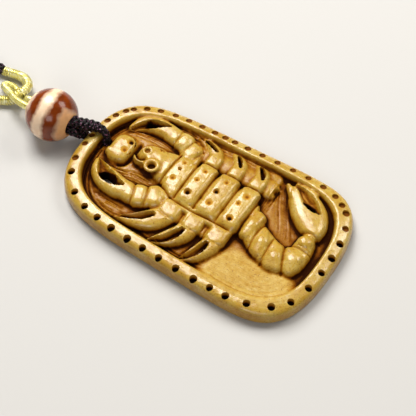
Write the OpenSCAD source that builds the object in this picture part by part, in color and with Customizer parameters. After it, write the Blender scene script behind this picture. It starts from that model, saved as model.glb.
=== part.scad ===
// Scorpion amulet pendant: a carved bone plate with a pierced scorpion in a
// dotted rim, hung by a short black cord and a wrapped loop through a round
// banded bead, on the gold-wrapped bend of a black carrying cord.
// Millimetres. The plate lies on its back: the origin is at the middle of the
// flat back, +X runs from head to stinger, +Y to the far side, +Z up.

/* [Plate] */
// Length of the carved plate
plate_l = 62; // [60:0.5:66]
// Width of the plate at its middle
plate_w = 36.6; // [36:0.2:40]
// Height of the rim above the flat back
plate_t = 4; // [3.8:0.1:5]
// How much wider the stinger end is than the middle, as a share
flare = 0.07; // [0:0.01:0.1]
// Squareness of the near corner at the head, which is worn the roundest
near_head_square = 4.6; // [4:0.1:7]
// Squareness of the far corner at the head
far_head_square = 5.2; // [4:0.1:7]
// Squareness of the stinger end
tail_square = 6.1; // [4:0.1:7]
// Squareness of the long sides
side_square = 2.55; // [2.3:0.05:3]
// Height of the sunk field above the flat back
field_z = 2.2; // [2:0.1:2.6]
// How much fuller the rim's near shoulder is than the section
near_raise = 0.45; // [0:0.05:0.5]
// How much the rim's far shoulder is worn down
far_drop = 0.6; // [0:0.1:0.8]

/* [Drilled dots] */
// Diameter of each dot in the rim
dot_d = 1.7; // [1.2:0.1:1.8]
// Depth of each dot
dot_depth = 1.3; // [0.8:0.1:1.5]
// Distance of the row of dots from the edge
dot_inset = 1.36; // [1.2:0.02:1.8]
// Width of a full pit on the scorpion's back
pit_d = 1.6; // [1.2:0.1:1.8]
// Depth of a full pit on the scorpion's back
pit_depth = 0.7; // [0.5:0.1:0.9]

/* [Scorpion] */
// Height of the scorpion's back at its highest
back_z = 5.2; // [4.6:0.1:5.6]
// Height of the head shield
head_z = 4.8; // [4.4:0.1:5.2]
// Height of the claws, the legs and the tail
limb_z = 4.3; // [4:0.1:4.5]
// Fullness of the carved limbs, as a share of their knobs
fullness = 1.1; // [1:0.05:1.15]
// Diameter of the ringed eye's raised ring
eye_ring_d = 3.4; // [3:0.1:3.6]
// Height of the floor in the hollows of the claws, legs and stinger
hollow_z = 2.6; // [2.4:0.1:2.8]

/* [Hanging] */
// Diameter of the hole that the hanging cord goes down
hole_d = 2.3; // [2.2:0.1:2.6]
// Width of the worn notch that the cord crosses the rim in
notch_w = 2.4; // [2.2:0.1:2.8]
// Height of the notch's floor
notch_z = 3.7; // [3.6:0.05:3.8]
// Diameter of the black hanging cord
hanger_d = 1.8; // [1.5:0.05:1.8]

/* [Bead] */
// Diameter of the round bead
bead_d = 11.6; // [11.4:0.1:11.8]
// Diameter of the drilled bore
bore_d = 4.2; // [4.2:0.1:4.6]
// Length of the bead along its bore, between the small flats
bead_l = 10.4; // [10.2:0.1:10.8]

/* [Cords] */
// Diameter of the gold-wrapped hanging loop
loop_d = 1.7; // [1.4:0.05:1.7]
// Diameter of the gold-wrapped bend of the carrying cord
bend_d = 2.3; // [2:0.05:2.3]
// Diameter of the black carrying cord
neck_d = 2.6; // [2.2:0.1:2.6]

/* [Hidden] */
outline_points = 84;
knob_sides = 12;
dot_sides = 10;
half_l = plate_l / 2;
half_w = plate_w / 2;
bead_x = -39;
bead_y = -0.5;

// Rim section. Columns: distance in from the edge, height above the back
rim_section = [
    [0.8, 0], [0.15, 0.4], [0, 0.9], [0, plate_t - 2.2], [0.3, plate_t - 0.95],
    [1, plate_t - 0.35], [2, plate_t - 0.08], [2.8, plate_t], [3.3, plate_t - 0.5],
    [3.6, field_z + 0.4], [3.9, field_z]];

// Rim dots of the near side. Columns: x, how much further in than dot_inset
near_dots = [
    [-24.1, 0], [-20.2, -0.1], [-16.4, -0.1], [-12.5, -0.2], [-8.2, -0.3], [-4.3, -0.3],
    [-0.2, -0.35], [4.1, -0.35], [8.5, -0.35], [12.4, -0.2], [16.1, -0.1], [20.6, 0.3],
    [25.2, 0.4]];
// Places of the other rim dots: by x on the far side, by y on the short ends
far_dots_x = [24.9, 22.6, 19.2, 15.4, 11.6, 7.8, 4.1, 0.5, -2.7, -5.1, -7.7,
    -10.9, -14.2, -17.4, -20.8, -23.6, -26];
tail_dots_y = [-11.4, -6.6, -2, 2.2, 6.2, 10.1, 13.6];
head_dots_y = [-9.3, -5.8, -1.6, 1.1, 6.2, 8.4, 10.6];

// Forms with a broad top. Columns: x, y, top, half width, half length, turn, corner radius
blocks = [
    [-8.2, 2.6, back_z - 0.5, 2.2, 5.1, 6, 1.1], [-3.35, 2.3, back_z - 0.1, 2.25, 6, 0, 0.9],
    [1.9, 2.2, back_z, 2.5, 6.1, 0, 0.9], [7.3, 2.1, back_z - 0.1, 2.3, 6, 0, 0.9],
    [-14.8, 3, head_z, 4.2, 3.7, 0, 2], [-22.4, 1.9, head_z - 0.3, 2.8, 3.9, 4, 1.7],
    [-12.3, -6.3, limb_z + 0.2, 1.85, 2.9, 24, 1.2], [-9.4, -4.8, limb_z + 0.2, 1.8, 3, 34, 1.2],
    [-11.9, 10.6, limb_z + 0.2, 1.8, 2.5, -8, 1.2], [-8.9, 8.9, limb_z + 0.2, 1.9, 2.7, -30, 1.2]];

// Low stretches that join the forms. Columns: x, y, top, radius
bands = [
    [[-11.4, 3, back_z - 0.6, 4.3], [6.6, 2.4, back_z - 0.5, 4.9]],
    [[-7.4, -1, back_z - 0.8, 2.3], [7.8, -1.6, back_z - 0.6, 2.5]],
    [[-5.6, -4, limb_z, 1.2], [8.2, -4, limb_z, 1.2]],
    [[-5, -6.3, limb_z - 0.8, 1.6], [7.6, -6.3, limb_z - 0.8, 1.6]],
    [[-7.4, 10.4, limb_z - 0.8, 2.6], [9.6, 10.6, limb_z - 0.8, 2.6]],
    [[-13.6, 13.4, limb_z - 1.4, 1.9], [8.8, 13.4, limb_z - 1.3, 2.4]],
    [[11.2, 0.2, limb_z - 0.1, 2.9], [15.4, -2.2, limb_z - 0.1, 3.2],
        [19.8, -3.5, limb_z - 0.1, 3.2], [23, -2.2, limb_z - 0.1, 2.8],
        [23.3, 2.4, limb_z - 0.1, 2.1]],
    [[-15.4, -6.7, limb_z, 2.4], [-9.4, -4.8, limb_z, 2.5], [-7.5, -2.5, limb_z - 0.1, 1.8]],
    [[-15.2, 11, limb_z, 2.2], [-9, 8.9, limb_z, 2.3], [-7.6, 7, limb_z - 0.1, 1.8]]];

// Claws, stinger and legs, each a row of rounded knobs. Columns: x, y, top, radius
limbs = [
    [[-24.9, -3.3, limb_z - 0.9, 0.9], [-23.3, -4.9, limb_z - 0.3, 2],
        [-20.7, -6.1, limb_z, 2.7], [-15.8, -6.7, limb_z + 0.1, 2.4]],
    [[-23.9, 8.1, limb_z - 0.9, 0.8], [-22.2, 10.3, limb_z - 0.3, 1.8],
        [-19.6, 11.2, limb_z, 2.2], [-15.2, 11.1, limb_z + 0.1, 2.1]],
    [[23.3, 5.6, limb_z + 0.2, 2], [22.1, 7.4, limb_z + 0.3, 3.1],
        [20.1, 9.5, limb_z + 0.2, 3.7], [16.6, 12.4, limb_z - 0.2, 2.7]],
    [[16, 11, limb_z - 0.3, 1.2], [12.5, 13.7, limb_z - 1, 0.5]],
    [[18.4, 13.7, limb_z - 0.4, 1.2], [14.2, 14.5, limb_z - 1, 0.5]],
    [[-4.8, -5.8, limb_z, 2.5], [-4.9, -7.4, limb_z, 2.4], [-6.7, -9.6, limb_z - 0.1, 2.5],
        [-9.6, -11.6, limb_z - 0.4, 1.8], [-14.1, -13, limb_z - 1.3, 0.4]],
    [[0.95, -5.8, limb_z, 2.4], [0.9, -7.4, limb_z, 2.3], [0.1, -9.6, limb_z - 0.1, 2.3],
        [-1.7, -11.9, limb_z - 0.4, 1.8], [-4.9, -14.1, limb_z - 1.3, 0.4]],
    [[6.9, -5.8, limb_z, 2.3], [6.9, -7.4, limb_z, 2.2], [6.5, -9.6, limb_z - 0.1, 2.2],
        [5.3, -12.1, limb_z - 0.4, 1.7], [3.1, -14.6, limb_z - 1.3, 0.4]],
    [[-3.7, 9.4, limb_z, 1.8], [-4.6, 11.8, limb_z - 0.2, 1.7], [-8.6, 13.9, limb_z - 1.1, 0.6]],
    [[1.9, 9.4, limb_z, 1.8], [1.6, 11.8, limb_z - 0.2, 1.7], [-1.2, 14, limb_z - 1.1, 0.6]],
    [[7.2, 9.4, limb_z, 1.8], [7.1, 11.6, limb_z - 0.2, 1.8], [4.7, 14.1, limb_z - 1.1, 0.6]]];

// Tail lobes, each the hull of its corners and of one higher knob. Same columns
lobes = [
    [[11.5, 3, limb_z, 1.2], [12.3, 2.7, limb_z, 1.2], [12, -2.2, limb_z, 1.4],
        [11.5, -2.2, limb_z, 1.4], [11.8, 0.2, limb_z + 0.5, 1.8]],
    [[15, 0.2, limb_z - 0.1, 0.9], [15.6, -1.2, limb_z, 1.3], [16, -4.5, limb_z - 0.1, 1.4],
        [15.3, -4.2, limb_z - 0.1, 1.4], [15.6, -2.2, limb_z + 0.45, 1.8]],
    [[18.5, -1.4, limb_z - 0.1, 0.9], [20.9, -5.5, limb_z - 0.2, 1.4],
        [19.4, -5.6, limb_z - 0.2, 1.5], [19.6, -3.9, limb_z + 0.4, 1.9]],
    [[21.4, -1, limb_z - 0.1, 1.1], [24, -0.9, limb_z - 0.1, 1.2],
        [24.2, -3.4, limb_z - 0.2, 1.4], [23.6, -4.6, limb_z - 0.2, 1.5],
        [23.1, -2.4, limb_z + 0.4, 2.1]],
    [[22.4, 2, limb_z - 0.1, 1.1], [24, 2, limb_z - 0.1, 1.2],
        [23.9, 3, limb_z - 0.1, 1.2], [22.6, 3, limb_z - 0.1, 1.2],
        [23.1, 2.5, limb_z + 0.35, 1.8]]];

// Curved ridge under the mouth. Same columns
lip = [[-18.7, 1.3, head_z - 0.1, 0.4], [-17.4, 0.3, head_z + 0.2, 0.45],
    [-15.8, 0.5, head_z + 0.2, 0.4]];

// Leaf-shaped hollows, each scooped down to hollow_z. Columns: x, y, half width
leaves = [
    [[-24.4, -3.1, 0.3], [-22.6, -4.8, 1.2], [-20.9, -5.9, 1.5], [-16.9, -6.3, 0.5]],
    [[-23.4, 7.9, 0.3], [-21.7, 9.6, 0.8], [-19.9, 10.8, 1.1], [-16.7, 12, 0.3]],
    [[21.7, 10.2, 0.5], [19.9, 11.1, 1.3], [17.7, 12.6, 1.2], [14.2, 14.1, 0.3]],
    [[-7.3, -9.1, 0.7], [-9.1, -10.5, 0.9], [-13.5, -12.7, 0.3]],
    [[0.1, -8.9, 0.7], [-0.8, -10.9, 0.9], [-4.1, -13.8, 0.3]],
    [[6.1, -9.1, 0.6], [5.6, -11, 0.9], [3.5, -14.1, 0.3]],
    [[-4.7, 12.2, 0.3], [-7.6, 13.6, 0.35]],
    [[1.9, 11.5, 0.3], [0.3, 13.6, 0.35]],
    [[7.5, 11.4, 0.35], [5.8, 13.7, 0.45]]];

// Pits on the scorpion. Columns: x, y, height of the surface there, width and depth as
// shares of a full pit's
pits = [
    [-8.5, 5.5, back_z - 0.7, 0.65, 0.6], [-8.5, 3.5, back_z - 0.5, 0.7, 0.9],
    [-8.6, 0.8, back_z - 0.6, 0.95, 0.6], [-3.4, 5.7, back_z - 0.2, 0.8, 0.7],
    [-3.8, 2.9, back_z - 0.1, 0.9, 0.6], [-3.8, -0.8, back_z - 0.2, 1.1, 1.1],
    [1.9, 5.7, back_z - 0.1, 0.9, 0.7], [1.3, 2.5, back_z, 1, 1],
    [1.5, -0.7, back_z - 0.1, 1.05, 0.7], [7.4, 5, back_z - 0.2, 1.05, 0.7],
    [6.7, 2.6, back_z - 0.1, 0.95, 0.6], [7.1, -1.6, back_z - 0.2, 1.1, 1],
    [-21.1, 3.9, head_z - 0.4, 1.25, 0.9], [-21.3, 1.4, head_z - 0.3, 1.25, 0.9],
    [-14.4, 5.4, head_z - 0.3, 0.65, 0.6]];
// Ringed eyes. Columns: x, y, size as a share, depth
ringed_eyes = [[-13.9, 0.7, 1, 0.9], [-16.8, 3.6, 0.68, 0.5]];

// Pierced openings, each from one round end to the other.
// Columns: x from, y from, x to, y to, radius
pierced = [
    [-21.5, -5.9, -19.6, -6.3, 1.1], [-20.6, 10.3, -19.4, 10.7, 0.8],
    [18.5, 10.8, 20.3, 10.5, 0.7]];

// Cord routes, in round numbers. The hanging cord goes from the bead's bore over
// the notch, down the hole, and back along the groove to the bore.
hanger_route = [
    [-39, -0.2, 6.8], [-35.2, -0.1, 6.8], [-33.6, 0.3, 6.5], [-31.8, 1.2, 5.7],
    [-29.8, 2.3, 5.35], [-28.4, 2.65, 5.15], [-27.3, 2.65, 4.7], [-26.7, 2.5, 3.7],
    [-26.5, 2.35, 2.6], [-26.5, 2.35, 1.7], [-27.1, 2.3, 1.05], [-28.2, 2.25, 0.9],
    [-30.6, 2, 0.9], [-31.8, 1.8, 1.4], [-32.4, 0.8, 2.9], [-33, -0.2, 4.3],
    [-34, -0.8, 4.9], [-39, -0.8, 4.85]];
loop_route = [
    [-40.5, -1.4, 5.8], [-44.2, -1.4, 5.6], [-45.6, -1.1, 5], [-48, -0.6, 4.3],
    [-49.6, -0.1, 4.1], [-51.2, 0.7, 3.8], [-53.4, 1.8, 2.6], [-54.8, 2.9, 1.5],
    [-54.7, 3.9, 1], [-53.3, 4.2, 0.85], [-51.6, 3.7, 0.85], [-49.9, 3, 0.9],
    [-48.3, 2.3, 1.8], [-46.9, 1.5, 3.6], [-45.6, 0.8, 5], [-44.2, 0.4, 5.7],
    [-40.5, 0.4, 5.8]];
bend_route = [
    [-57.6, 6.5, 1.2], [-56.4, 6.7, 1.2], [-54.9, 7.1, 1.2], [-52.7, 7.1, 1.5],
    [-50.8, 6.1, 2.2], [-49.5, 4.6, 3], [-49.3, 3.1, 3.35], [-49.9, 2.1, 3],
    [-50.5, 1.1, 1.9], [-51.3, 0.3, 1.35], [-52.5, -0.3, 1.2], [-54, -1, 1.2],
    [-56, -1.7, 1.2]];
neck_route = [
    [-57.7, 6.5, 1.35], [-61, 6.2, 1.35], [-66, 6.4, 1.35], [-73, 7.8, 1.35], [-82, 9.4, 1.35],
    [-93, 10.4, 1.35], [-105, 10.4, 1.35], [-117, 9.4, 1.35], [-127, 7.8, 1.35],
    [-133.5, 5.2, 1.35], [-136.6, 1, 1.35], [-134.6, -3.6, 1.35], [-128.6, -6.2, 1.35],
    [-118, -7.2, 1.35], [-106, -6.8, 1.35], [-94, -5.6, 1.35], [-82, -4.4, 1.35],
    [-72, -3.6, 1.35], [-64, -2.9, 1.35], [-59, -2.3, 1.35], [-56.3, -1.8, 1.35]];

function power(v, n) = sign(v) * pow(abs(v), 2 / n);
// How square the outline is on the x and y side of the middle
function square_at(x, y) = x > 0 ? tail_square : y < 0 ? near_head_square : far_head_square;
// A point of the plate's outline, drawn in by inset, at the turn t
function outline(t, inset) =
    let (a = half_l - inset, b = half_w - inset,
        x = a * power(cos(t), square_at(cos(t), sin(t))))
    [x, b * power(sin(t), side_square) * (1 + flare * x / half_l)];
// A factor for the rim's height: its outer side is full when near and worn when far
function share(v) = min(max(v, 0), 1);
function lean(p, inset) =
    1 + (near_raise * share(-p[1] / 8 - 0.6) - far_drop * share(p[1] / 8 - 0.6))
        * share(1.3 - pow(p[0] / 23, 4)) * share(1 - inset / 2.4) / plate_t;
// The same outline where it crosses a given x, on the side where side is 1 or -1
function rim_at_x(x, side, further) =
    let (a = half_l - dot_inset, c = pow(abs(x) / a, square_at(x, side) / 2))
    [x, side * (half_w - dot_inset - further) * pow(1 - c * c, 1 / side_square)
        * (1 + flare * x / half_l)];
// The same outline where it crosses a given y, at the end where end is 1 or -1
function rim_at_y(y, end) =
    let (b = (half_w - dot_inset) * (1 + flare * end), s = pow(abs(y) / b, side_square / 2))
    [end * (half_l - dot_inset) * pow(1 - s * s, 1 / square_at(end, y)), y];

// A smooth curve through a route's points, with steps points in each gap
function bend_point(a, b, c, d, t) =
    0.5 * (2 * b + (c - a) * t + (2 * a - 5 * b + 4 * c - d) * t * t
        + (3 * b - a - 3 * c + d) * t * t * t);
function curve(route, steps) = [
    for (i = [0 : len(route) - 2], k = [0 : steps - 1])
        bend_point(route[max(i - 1, 0)], route[i], route[i + 1],
            route[min(i + 2, len(route) - 1)], k / steps),
    route[len(route) - 1]];
function unit(v) = v / norm(v);
function heading(line, i) =
    unit(line[min(i + 1, len(line) - 1)] - line[max(i - 1, 0)]);

// A tube of 8 sides that follows a line of points
module tube(line, d) {
    sides = 8;
    n = len(line);
    points = [for (i = [0 : n - 1])
        let (h = heading(line, i), s = unit(cross(h, [0.13, 0.09, 1])), u = cross(s, h))
        for (k = [0 : sides - 1])
            line[i] + (s * cos(360 * k / sides) + u * sin(360 * k / sides)) * d / 2];
    skin = [for (i = [0 : n - 2], k = [0 : sides - 1])
        let (j = (k + 1) % sides)
        [i * sides + k, i * sides + j, (i + 1) * sides + j, (i + 1) * sides + k]];
    polyhedron(points, concat(skin,
        [[for (k = [0 : sides - 1]) sides - 1 - k],
            [for (k = [0 : sides - 1]) (n - 1) * sides + k]]), convexity = 6);
}

// The plate with its rounded rim and its sunk field
module plate_body() {
    rows = len(rim_section);
    n = outline_points;
    points = [for (row = rim_section, i = [0 : n - 1])
        let (p = outline(360 * (i + 0.5) / n, row[0]))
        [p[0], p[1], row[1] * lean(p, row[0])]];
    skin = [for (r = [0 : rows - 2], i = [0 : n - 1])
        let (j = (i + 1) % n) [r * n + i, (r + 1) * n + i, (r + 1) * n + j, r * n + j]];
    polyhedron(points, concat(skin,
        [[for (i = [0 : n - 1]) i],
            [for (i = [0 : n - 1]) (rows - 1) * n + n - 1 - i]]), convexity = 6);
}

// A rounded knob that stands on the field
module knob(k) {
    translate([k[0], k[1], field_z - 0.4])
        scale([k[3] * fullness, k[3] * fullness, k[2] - field_z + 0.4])
            sphere(r = 1, $fn = knob_sides);
}

// A limb whose knobs are joined one to the next
module limb(knobs) {
    for (i = [0 : len(knobs) - 2])
        hull() {
            knob(knobs[i]);
            knob(knobs[i + 1]);
        }
}

// A form with a broad, slightly raised top and round corners
module block(b) {
    r = b[6];
    translate([b[0], b[1], 0])
        rotate(b[5])
            hull() {
                for (i = [-1, 1], j = [-1, 1])
                    knob([i * (b[3] - r), j * (b[4] - r), b[2] - 0.4, r]);
                knob([0, 0, b[2], b[3] * 0.7]);
            }
}

module ringed_eye(e) {
    translate([e[0], e[1], field_z])
        cylinder(h = head_z - field_z + 0.2, d1 = eye_ring_d * e[2] + 0.8,
            d2 = eye_ring_d * e[2] - 0.3, $fn = knob_sides);
}

// The low ground round the head, and the bare ground beside the tail
module ground() {
    translate([-17, 2.4, 1.4]) scale([8.2, 6.6, 1.6]) sphere(r = 1, $fn = 20);
    hull()
        for (p = [[11, -8.5], [23.5, -8], [21.5, -12.2], [11, -13.2]])
            translate([p[0], p[1], 1.4]) scale([3, 2.4, 1.5]) sphere(r = 1, $fn = knob_sides);
}

// The whole raised figure, cut off level inside the plate
module scorpion() {
    intersection() {
        translate([-half_l, -half_w, 1.2]) cube([plate_l, plate_w, 8]);
        union() {
            ground();
            for (b = blocks) block(b);
            for (row = bands) limb(row);
            for (row = limbs) limb(row);
            for (row = lobes) hull() for (k = row) knob(k);
            limb(lip);
            knob([-24.1, 0.1, head_z - 0.6, 1.1]);
            for (e = ringed_eyes) ringed_eye(e);
        }
    }
}

module blind_dot(x, y, top, d, depth) {
    translate([x, y, top - depth])
        cylinder(h = depth + 3, d1 = d - 0.24, d2 = d + 0.2, $fn = dot_sides);
}

// A pit that opens like a funnel
module pit(p) {
    r = pit_d / 2 * p[3];
    deep = pit_depth * p[4];
    translate([p[0], p[1], p[2] - deep])
        cylinder(h = 2 * deep, r1 = 0.3 * r, r2 = 1.7 * r, $fn = dot_sides);
}

// A pierced opening with round ends
module opening(s) {
    hull()
        for (p = [[s[0], s[1]], [s[2], s[3]]])
            translate([p[0], p[1], -1]) cylinder(h = 9, r = s[4], $fn = dot_sides);
}

// A leaf-shaped hollow with sloping walls
module leaf(bays) {
    depth = back_z - hollow_z;
    for (i = [0 : len(bays) - 2])
        hull()
            for (b = [bays[i], bays[i + 1]])
                translate([b[0], b[1], hollow_z])
                    cylinder(h = depth, r1 = b[2] * 0.4, r2 = b[2] * 1.3, $fn = dot_sides);
}

module rim_dots() {
    crest = plate_t - 0.35;
    for (d = near_dots) blind_dot(d[0], rim_at_x(d[0], -1, d[1])[1], crest, dot_d, dot_depth);
    for (x = far_dots_x) blind_dot(x, rim_at_x(x, 1, 0.3)[1], crest, dot_d, dot_depth * 0.4);
    for (y = tail_dots_y)
        blind_dot(rim_at_y(y, 1)[0], y, crest, dot_d, dot_depth * (y > 9 ? 0.4 : 1));
    for (y = head_dots_y)
        blind_dot(rim_at_y(y, -1)[0], y, crest, dot_d, dot_depth * (y > -8 ? 0.4 : 1));
}

// The worn notch over the rim, the hole, and the groove in the back to the plate's end
module hanging_cuts() {
    hull()
        for (p = [[-half_l - 2, 1.2], [-27.6, 2.65]], up = [0, 1])
            translate([p[0], p[1], notch_z + notch_w / 2 + up])
                sphere(d = notch_w + 0.4 * up, $fn = 16);
    translate([-26.5, 2.35, -1]) cylinder(h = plate_t + 2, d = hole_d, $fn = 20);
    hull()
        for (p = [[-half_l - 2, 1.9], [-26.5, 2.35]], z = [-1, 0.9])
            translate([p[0], p[1], z]) sphere(d = hanger_d + 0.3, $fn = 16);
}

module amulet() {
    color([0.87, 0.72, 0.42])
        difference() {
            union() {
                plate_body();
                scorpion();
            }
            rim_dots();
            for (p = pits) pit(p);
            for (e = ringed_eyes)
                blind_dot(e[0], e[1], head_z + 0.2, (eye_ring_d - 1.3) * e[2], e[3] + 0.2);
            for (s = pierced) opening(s);
            for (row = leaves) leaf(row);
            hanging_cuts();
        }
}

module bead() {
    color([0.45, 0.14, 0.05])
        translate([bead_x, bead_y, bead_d / 2]) rotate([0, 90, 0])
            difference() {
                intersection() {
                    sphere(d = bead_d, $fn = 64);
                    cylinder(h = bead_l, d = bead_d + 2, center = true, $fn = 64);
                }
                cylinder(h = bead_d + 2, d = bore_d, center = true, $fn = 48);
            }
}

module hanger_cord() {
    color([0.06, 0.05, 0.06]) tube(curve(hanger_route, 1), hanger_d);
}

module hanger_loop() {
    color([0.86, 0.79, 0.45]) tube(curve(loop_route, 1), loop_d);
}

module neck_bend() {
    color([0.86, 0.79, 0.45]) tube(curve(bend_route, 1), bend_d);
}

module neck_cord() {
    color([0.06, 0.05, 0.06]) tube(curve(neck_route, 1), neck_d);
}

amulet();
hanger_cord();
bead();
hanger_loop();
neck_bend();
neck_cord();
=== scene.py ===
# %% [markdown]
# # A carved scorpion amulet on its cord
# The pendant is one plate of bone, carved with a scorpion and drilled with dots round its
# rim. A short black cord hangs it from a round banded bead, a gold-wrapped loop leaves the
# bead's other end, and the gold-wrapped bend of a black carrying cord is hooked through it.
# The frame gives the place of each piece, so the first step is to load it and keep its parts.

# %% Load the frame
import bpy
import bmesh
import math
import numpy as np
from mathutils import Matrix, Vector, noise

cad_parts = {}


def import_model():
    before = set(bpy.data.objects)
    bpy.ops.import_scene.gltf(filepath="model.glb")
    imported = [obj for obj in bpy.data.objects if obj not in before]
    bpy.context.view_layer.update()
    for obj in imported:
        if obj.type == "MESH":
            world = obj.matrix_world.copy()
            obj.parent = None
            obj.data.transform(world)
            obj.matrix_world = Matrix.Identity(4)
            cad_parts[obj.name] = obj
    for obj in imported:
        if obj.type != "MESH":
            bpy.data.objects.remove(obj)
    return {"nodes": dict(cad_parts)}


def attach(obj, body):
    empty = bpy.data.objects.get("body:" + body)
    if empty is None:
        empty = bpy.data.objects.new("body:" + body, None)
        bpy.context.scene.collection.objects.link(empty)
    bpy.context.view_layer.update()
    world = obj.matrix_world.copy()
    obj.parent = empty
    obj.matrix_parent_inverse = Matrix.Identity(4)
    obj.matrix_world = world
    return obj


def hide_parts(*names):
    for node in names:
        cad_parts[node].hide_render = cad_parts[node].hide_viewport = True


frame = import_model()
bpy.context.view_layer.update()
MM = 0.001
print("nodes:", sorted(frame["nodes"]))

# %% [markdown]
# The photograph looks down on the plate from the stinger end of its near side, with a long
# lens. A camera is easiest to place by the point that it looks at, its distance, and three
# angles, so those are the named values and the matrix is worked out from them.

# %% Camera
LOOK_AT = Vector((0.37, 0.94, 0)) * MM
CAMERA_DISTANCE = 319.4 * MM
AZIMUTH, ELEVATION, ROLL = (math.radians(a) for a in (30.39, 55.78, 2.48))
PHOTO_WIDTH_PX, FOCAL_PX, SENSOR_MM = 416, 1500, 36

forward = Vector((-math.sin(AZIMUTH) * math.cos(ELEVATION),
                  math.cos(AZIMUTH) * math.cos(ELEVATION), -math.sin(ELEVATION)))
level = forward.cross(Vector((0, 0, 1))).normalized()
below = forward.cross(level)
right = level * math.cos(ROLL) - below * math.sin(ROLL)
down = level * math.sin(ROLL) + below * math.cos(ROLL)

lens = bpy.data.cameras.new("photo_camera")
lens.sensor_width = SENSOR_MM
lens.lens = SENSOR_MM * FOCAL_PX / PHOTO_WIDTH_PX
lens.clip_start = 0.01
camera = bpy.data.objects.new("photo_camera", lens)
bpy.context.scene.collection.objects.link(camera)
eye = LOOK_AT - forward * CAMERA_DISTANCE
camera.matrix_world = Matrix((
    (right.x, -down.x, -forward.x, eye.x), (right.y, -down.y, -forward.y, eye.y),
    (right.z, -down.z, -forward.z, eye.z), (0, 0, 0, 1)))
bpy.context.scene.camera = camera
print("camera at, mm:", [round(v / MM) for v in eye])

# %% [markdown]
# Every cord follows a route of a few round points. A smooth curve through them, and a frame
# that turns as little as possible along it, are enough to lay strands and windings round it.

# %% Routes of the cords, in millimetres
HANGER_D, LOOP_D, BEND_D, NECK_D = 1.8, 1.7, 2.3, 2.6
HANGER_ROUTE = [
    (-39, -0.2, 6.8), (-35.2, -0.1, 6.8), (-33.6, 0.3, 6.5), (-31.8, 1.2, 5.7),
    (-29.8, 2.3, 5.35), (-28.4, 2.65, 5.15), (-27.3, 2.65, 4.7), (-26.7, 2.5, 3.7),
    (-26.5, 2.35, 2.6), (-26.5, 2.35, 1.7), (-27.1, 2.3, 1.05), (-28.2, 2.25, 0.9),
    (-30.6, 2, 0.9), (-31.8, 1.8, 1.4), (-32.4, 0.8, 2.9), (-33, -0.2, 4.3),
    (-34, -0.8, 4.9), (-39, -0.8, 4.85)]
HANGER_SWELLS = [  # distance along the cord, and its thickness there as a share
    (0, 1), (2.5, 1.1), (4, 1.9), (5.8, 1.5), (8, 1.7), (10, 1.5), (12, 1.1),
    (13.5, 0.95), (17, 1), (21.2, 1), (22.2, 1.35), (23.4, 1.75), (26, 1.7), (28.5, 1), (31, 1)]
LOOP_ROUTE = [
    (-40.5, -1.4, 5.8), (-44.2, -1.4, 5.6), (-45.6, -1.1, 5), (-48, -0.6, 4.3),
    (-49.6, -0.1, 4.1), (-51.2, 0.7, 3.8), (-53.4, 1.8, 2.6), (-54.8, 2.9, 1.5),
    (-54.7, 3.9, 1), (-53.3, 4.2, 0.85), (-51.6, 3.7, 0.85), (-49.9, 3, 0.9),
    (-48.3, 2.3, 1.8), (-46.9, 1.5, 3.6), (-45.6, 0.8, 5), (-44.2, 0.4, 5.7),
    (-40.5, 0.4, 5.8)]
BEND_ROUTE = [
    (-57.6, 6.5, 1.2), (-56.4, 6.7, 1.2), (-54.9, 7.1, 1.2), (-52.7, 7.1, 1.5),
    (-50.8, 6.1, 2.2), (-49.5, 4.6, 3), (-49.3, 3.1, 3.35), (-49.9, 2.1, 3),
    (-50.5, 1.1, 1.9), (-51.3, 0.3, 1.35), (-52.5, -0.3, 1.2), (-54, -1, 1.2),
    (-56, -1.7, 1.2)]
NECK_ROUTE = [
    (-57.7, 6.5, 1.35), (-61, 6.2, 1.35), (-66, 6.4, 1.35), (-73, 7.8, 1.35),
    (-82, 9.4, 1.35), (-93, 10.4, 1.35), (-105, 10.4, 1.35), (-117, 9.4, 1.35),
    (-127, 7.8, 1.35), (-133.5, 5.2, 1.35), (-136.6, 1, 1.35), (-134.6, -3.6, 1.35),
    (-128.6, -6.2, 1.35), (-118, -7.2, 1.35), (-106, -6.8, 1.35), (-94, -5.6, 1.35),
    (-82, -4.4, 1.35), (-72, -3.6, 1.35), (-64, -2.9, 1.35), (-59, -2.3, 1.35),
    (-56.3, -1.8, 1.35)]


def on_curve(a, b, c, d, t):
    """A point between b and c on the smooth curve through all four."""
    return 0.5 * (2 * b + (c - a) * t + (2 * a - 5 * b + 4 * c - d) * t * t
                  + (3 * b - a - 3 * c + d) * t ** 3)


def points_at(s, along, line):
    """The line's points at the distances s, where along has the distance of each point."""
    return np.stack([np.interp(s, along, line[:, i]) for i in range(3)], 1)


def smooth_route(route, step):
    """Points about one step apart on a smooth curve through the route, in millimetres."""
    p = [Vector(q) for q in route]
    p = [2 * p[0] - p[1]] + p + [2 * p[-1] - p[-2]]
    per_gap = 12
    dense = [on_curve(*four, k / per_gap) for four in zip(p, p[1:], p[2:], p[3:])
             for k in range(per_gap)]
    line = np.array([tuple(q) for q in dense + [p[-2]]])
    along = np.concatenate([[0], np.cumsum(np.linalg.norm(np.diff(line, axis=0), axis=1))])
    even = np.linspace(0, along[-1], max(2, round(along[-1] / step)) + 1)
    return points_at(even, along, line), even


def frames_along(line):
    """Two directions across the line at each point, carried along with no needless twist."""
    heading = np.gradient(line, axis=0)
    heading /= np.linalg.norm(heading, axis=1)[:, None]
    side = np.cross(heading[0], (0.1, 0.2, 1.0))
    sides = []
    for h in heading:
        side = side - h * side.dot(h)
        side = side / np.linalg.norm(side)
        sides.append(side)
    sides = np.array(sides)
    return sides, np.cross(heading, sides)


for name, route in (("hanger", HANGER_ROUTE), ("loop", LOOP_ROUTE),
                    ("bend", BEND_ROUTE), ("neck", NECK_ROUTE)):
    print(name, "route is", round(smooth_route(route, 0.2)[1][-1], 1), "mm long")

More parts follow.
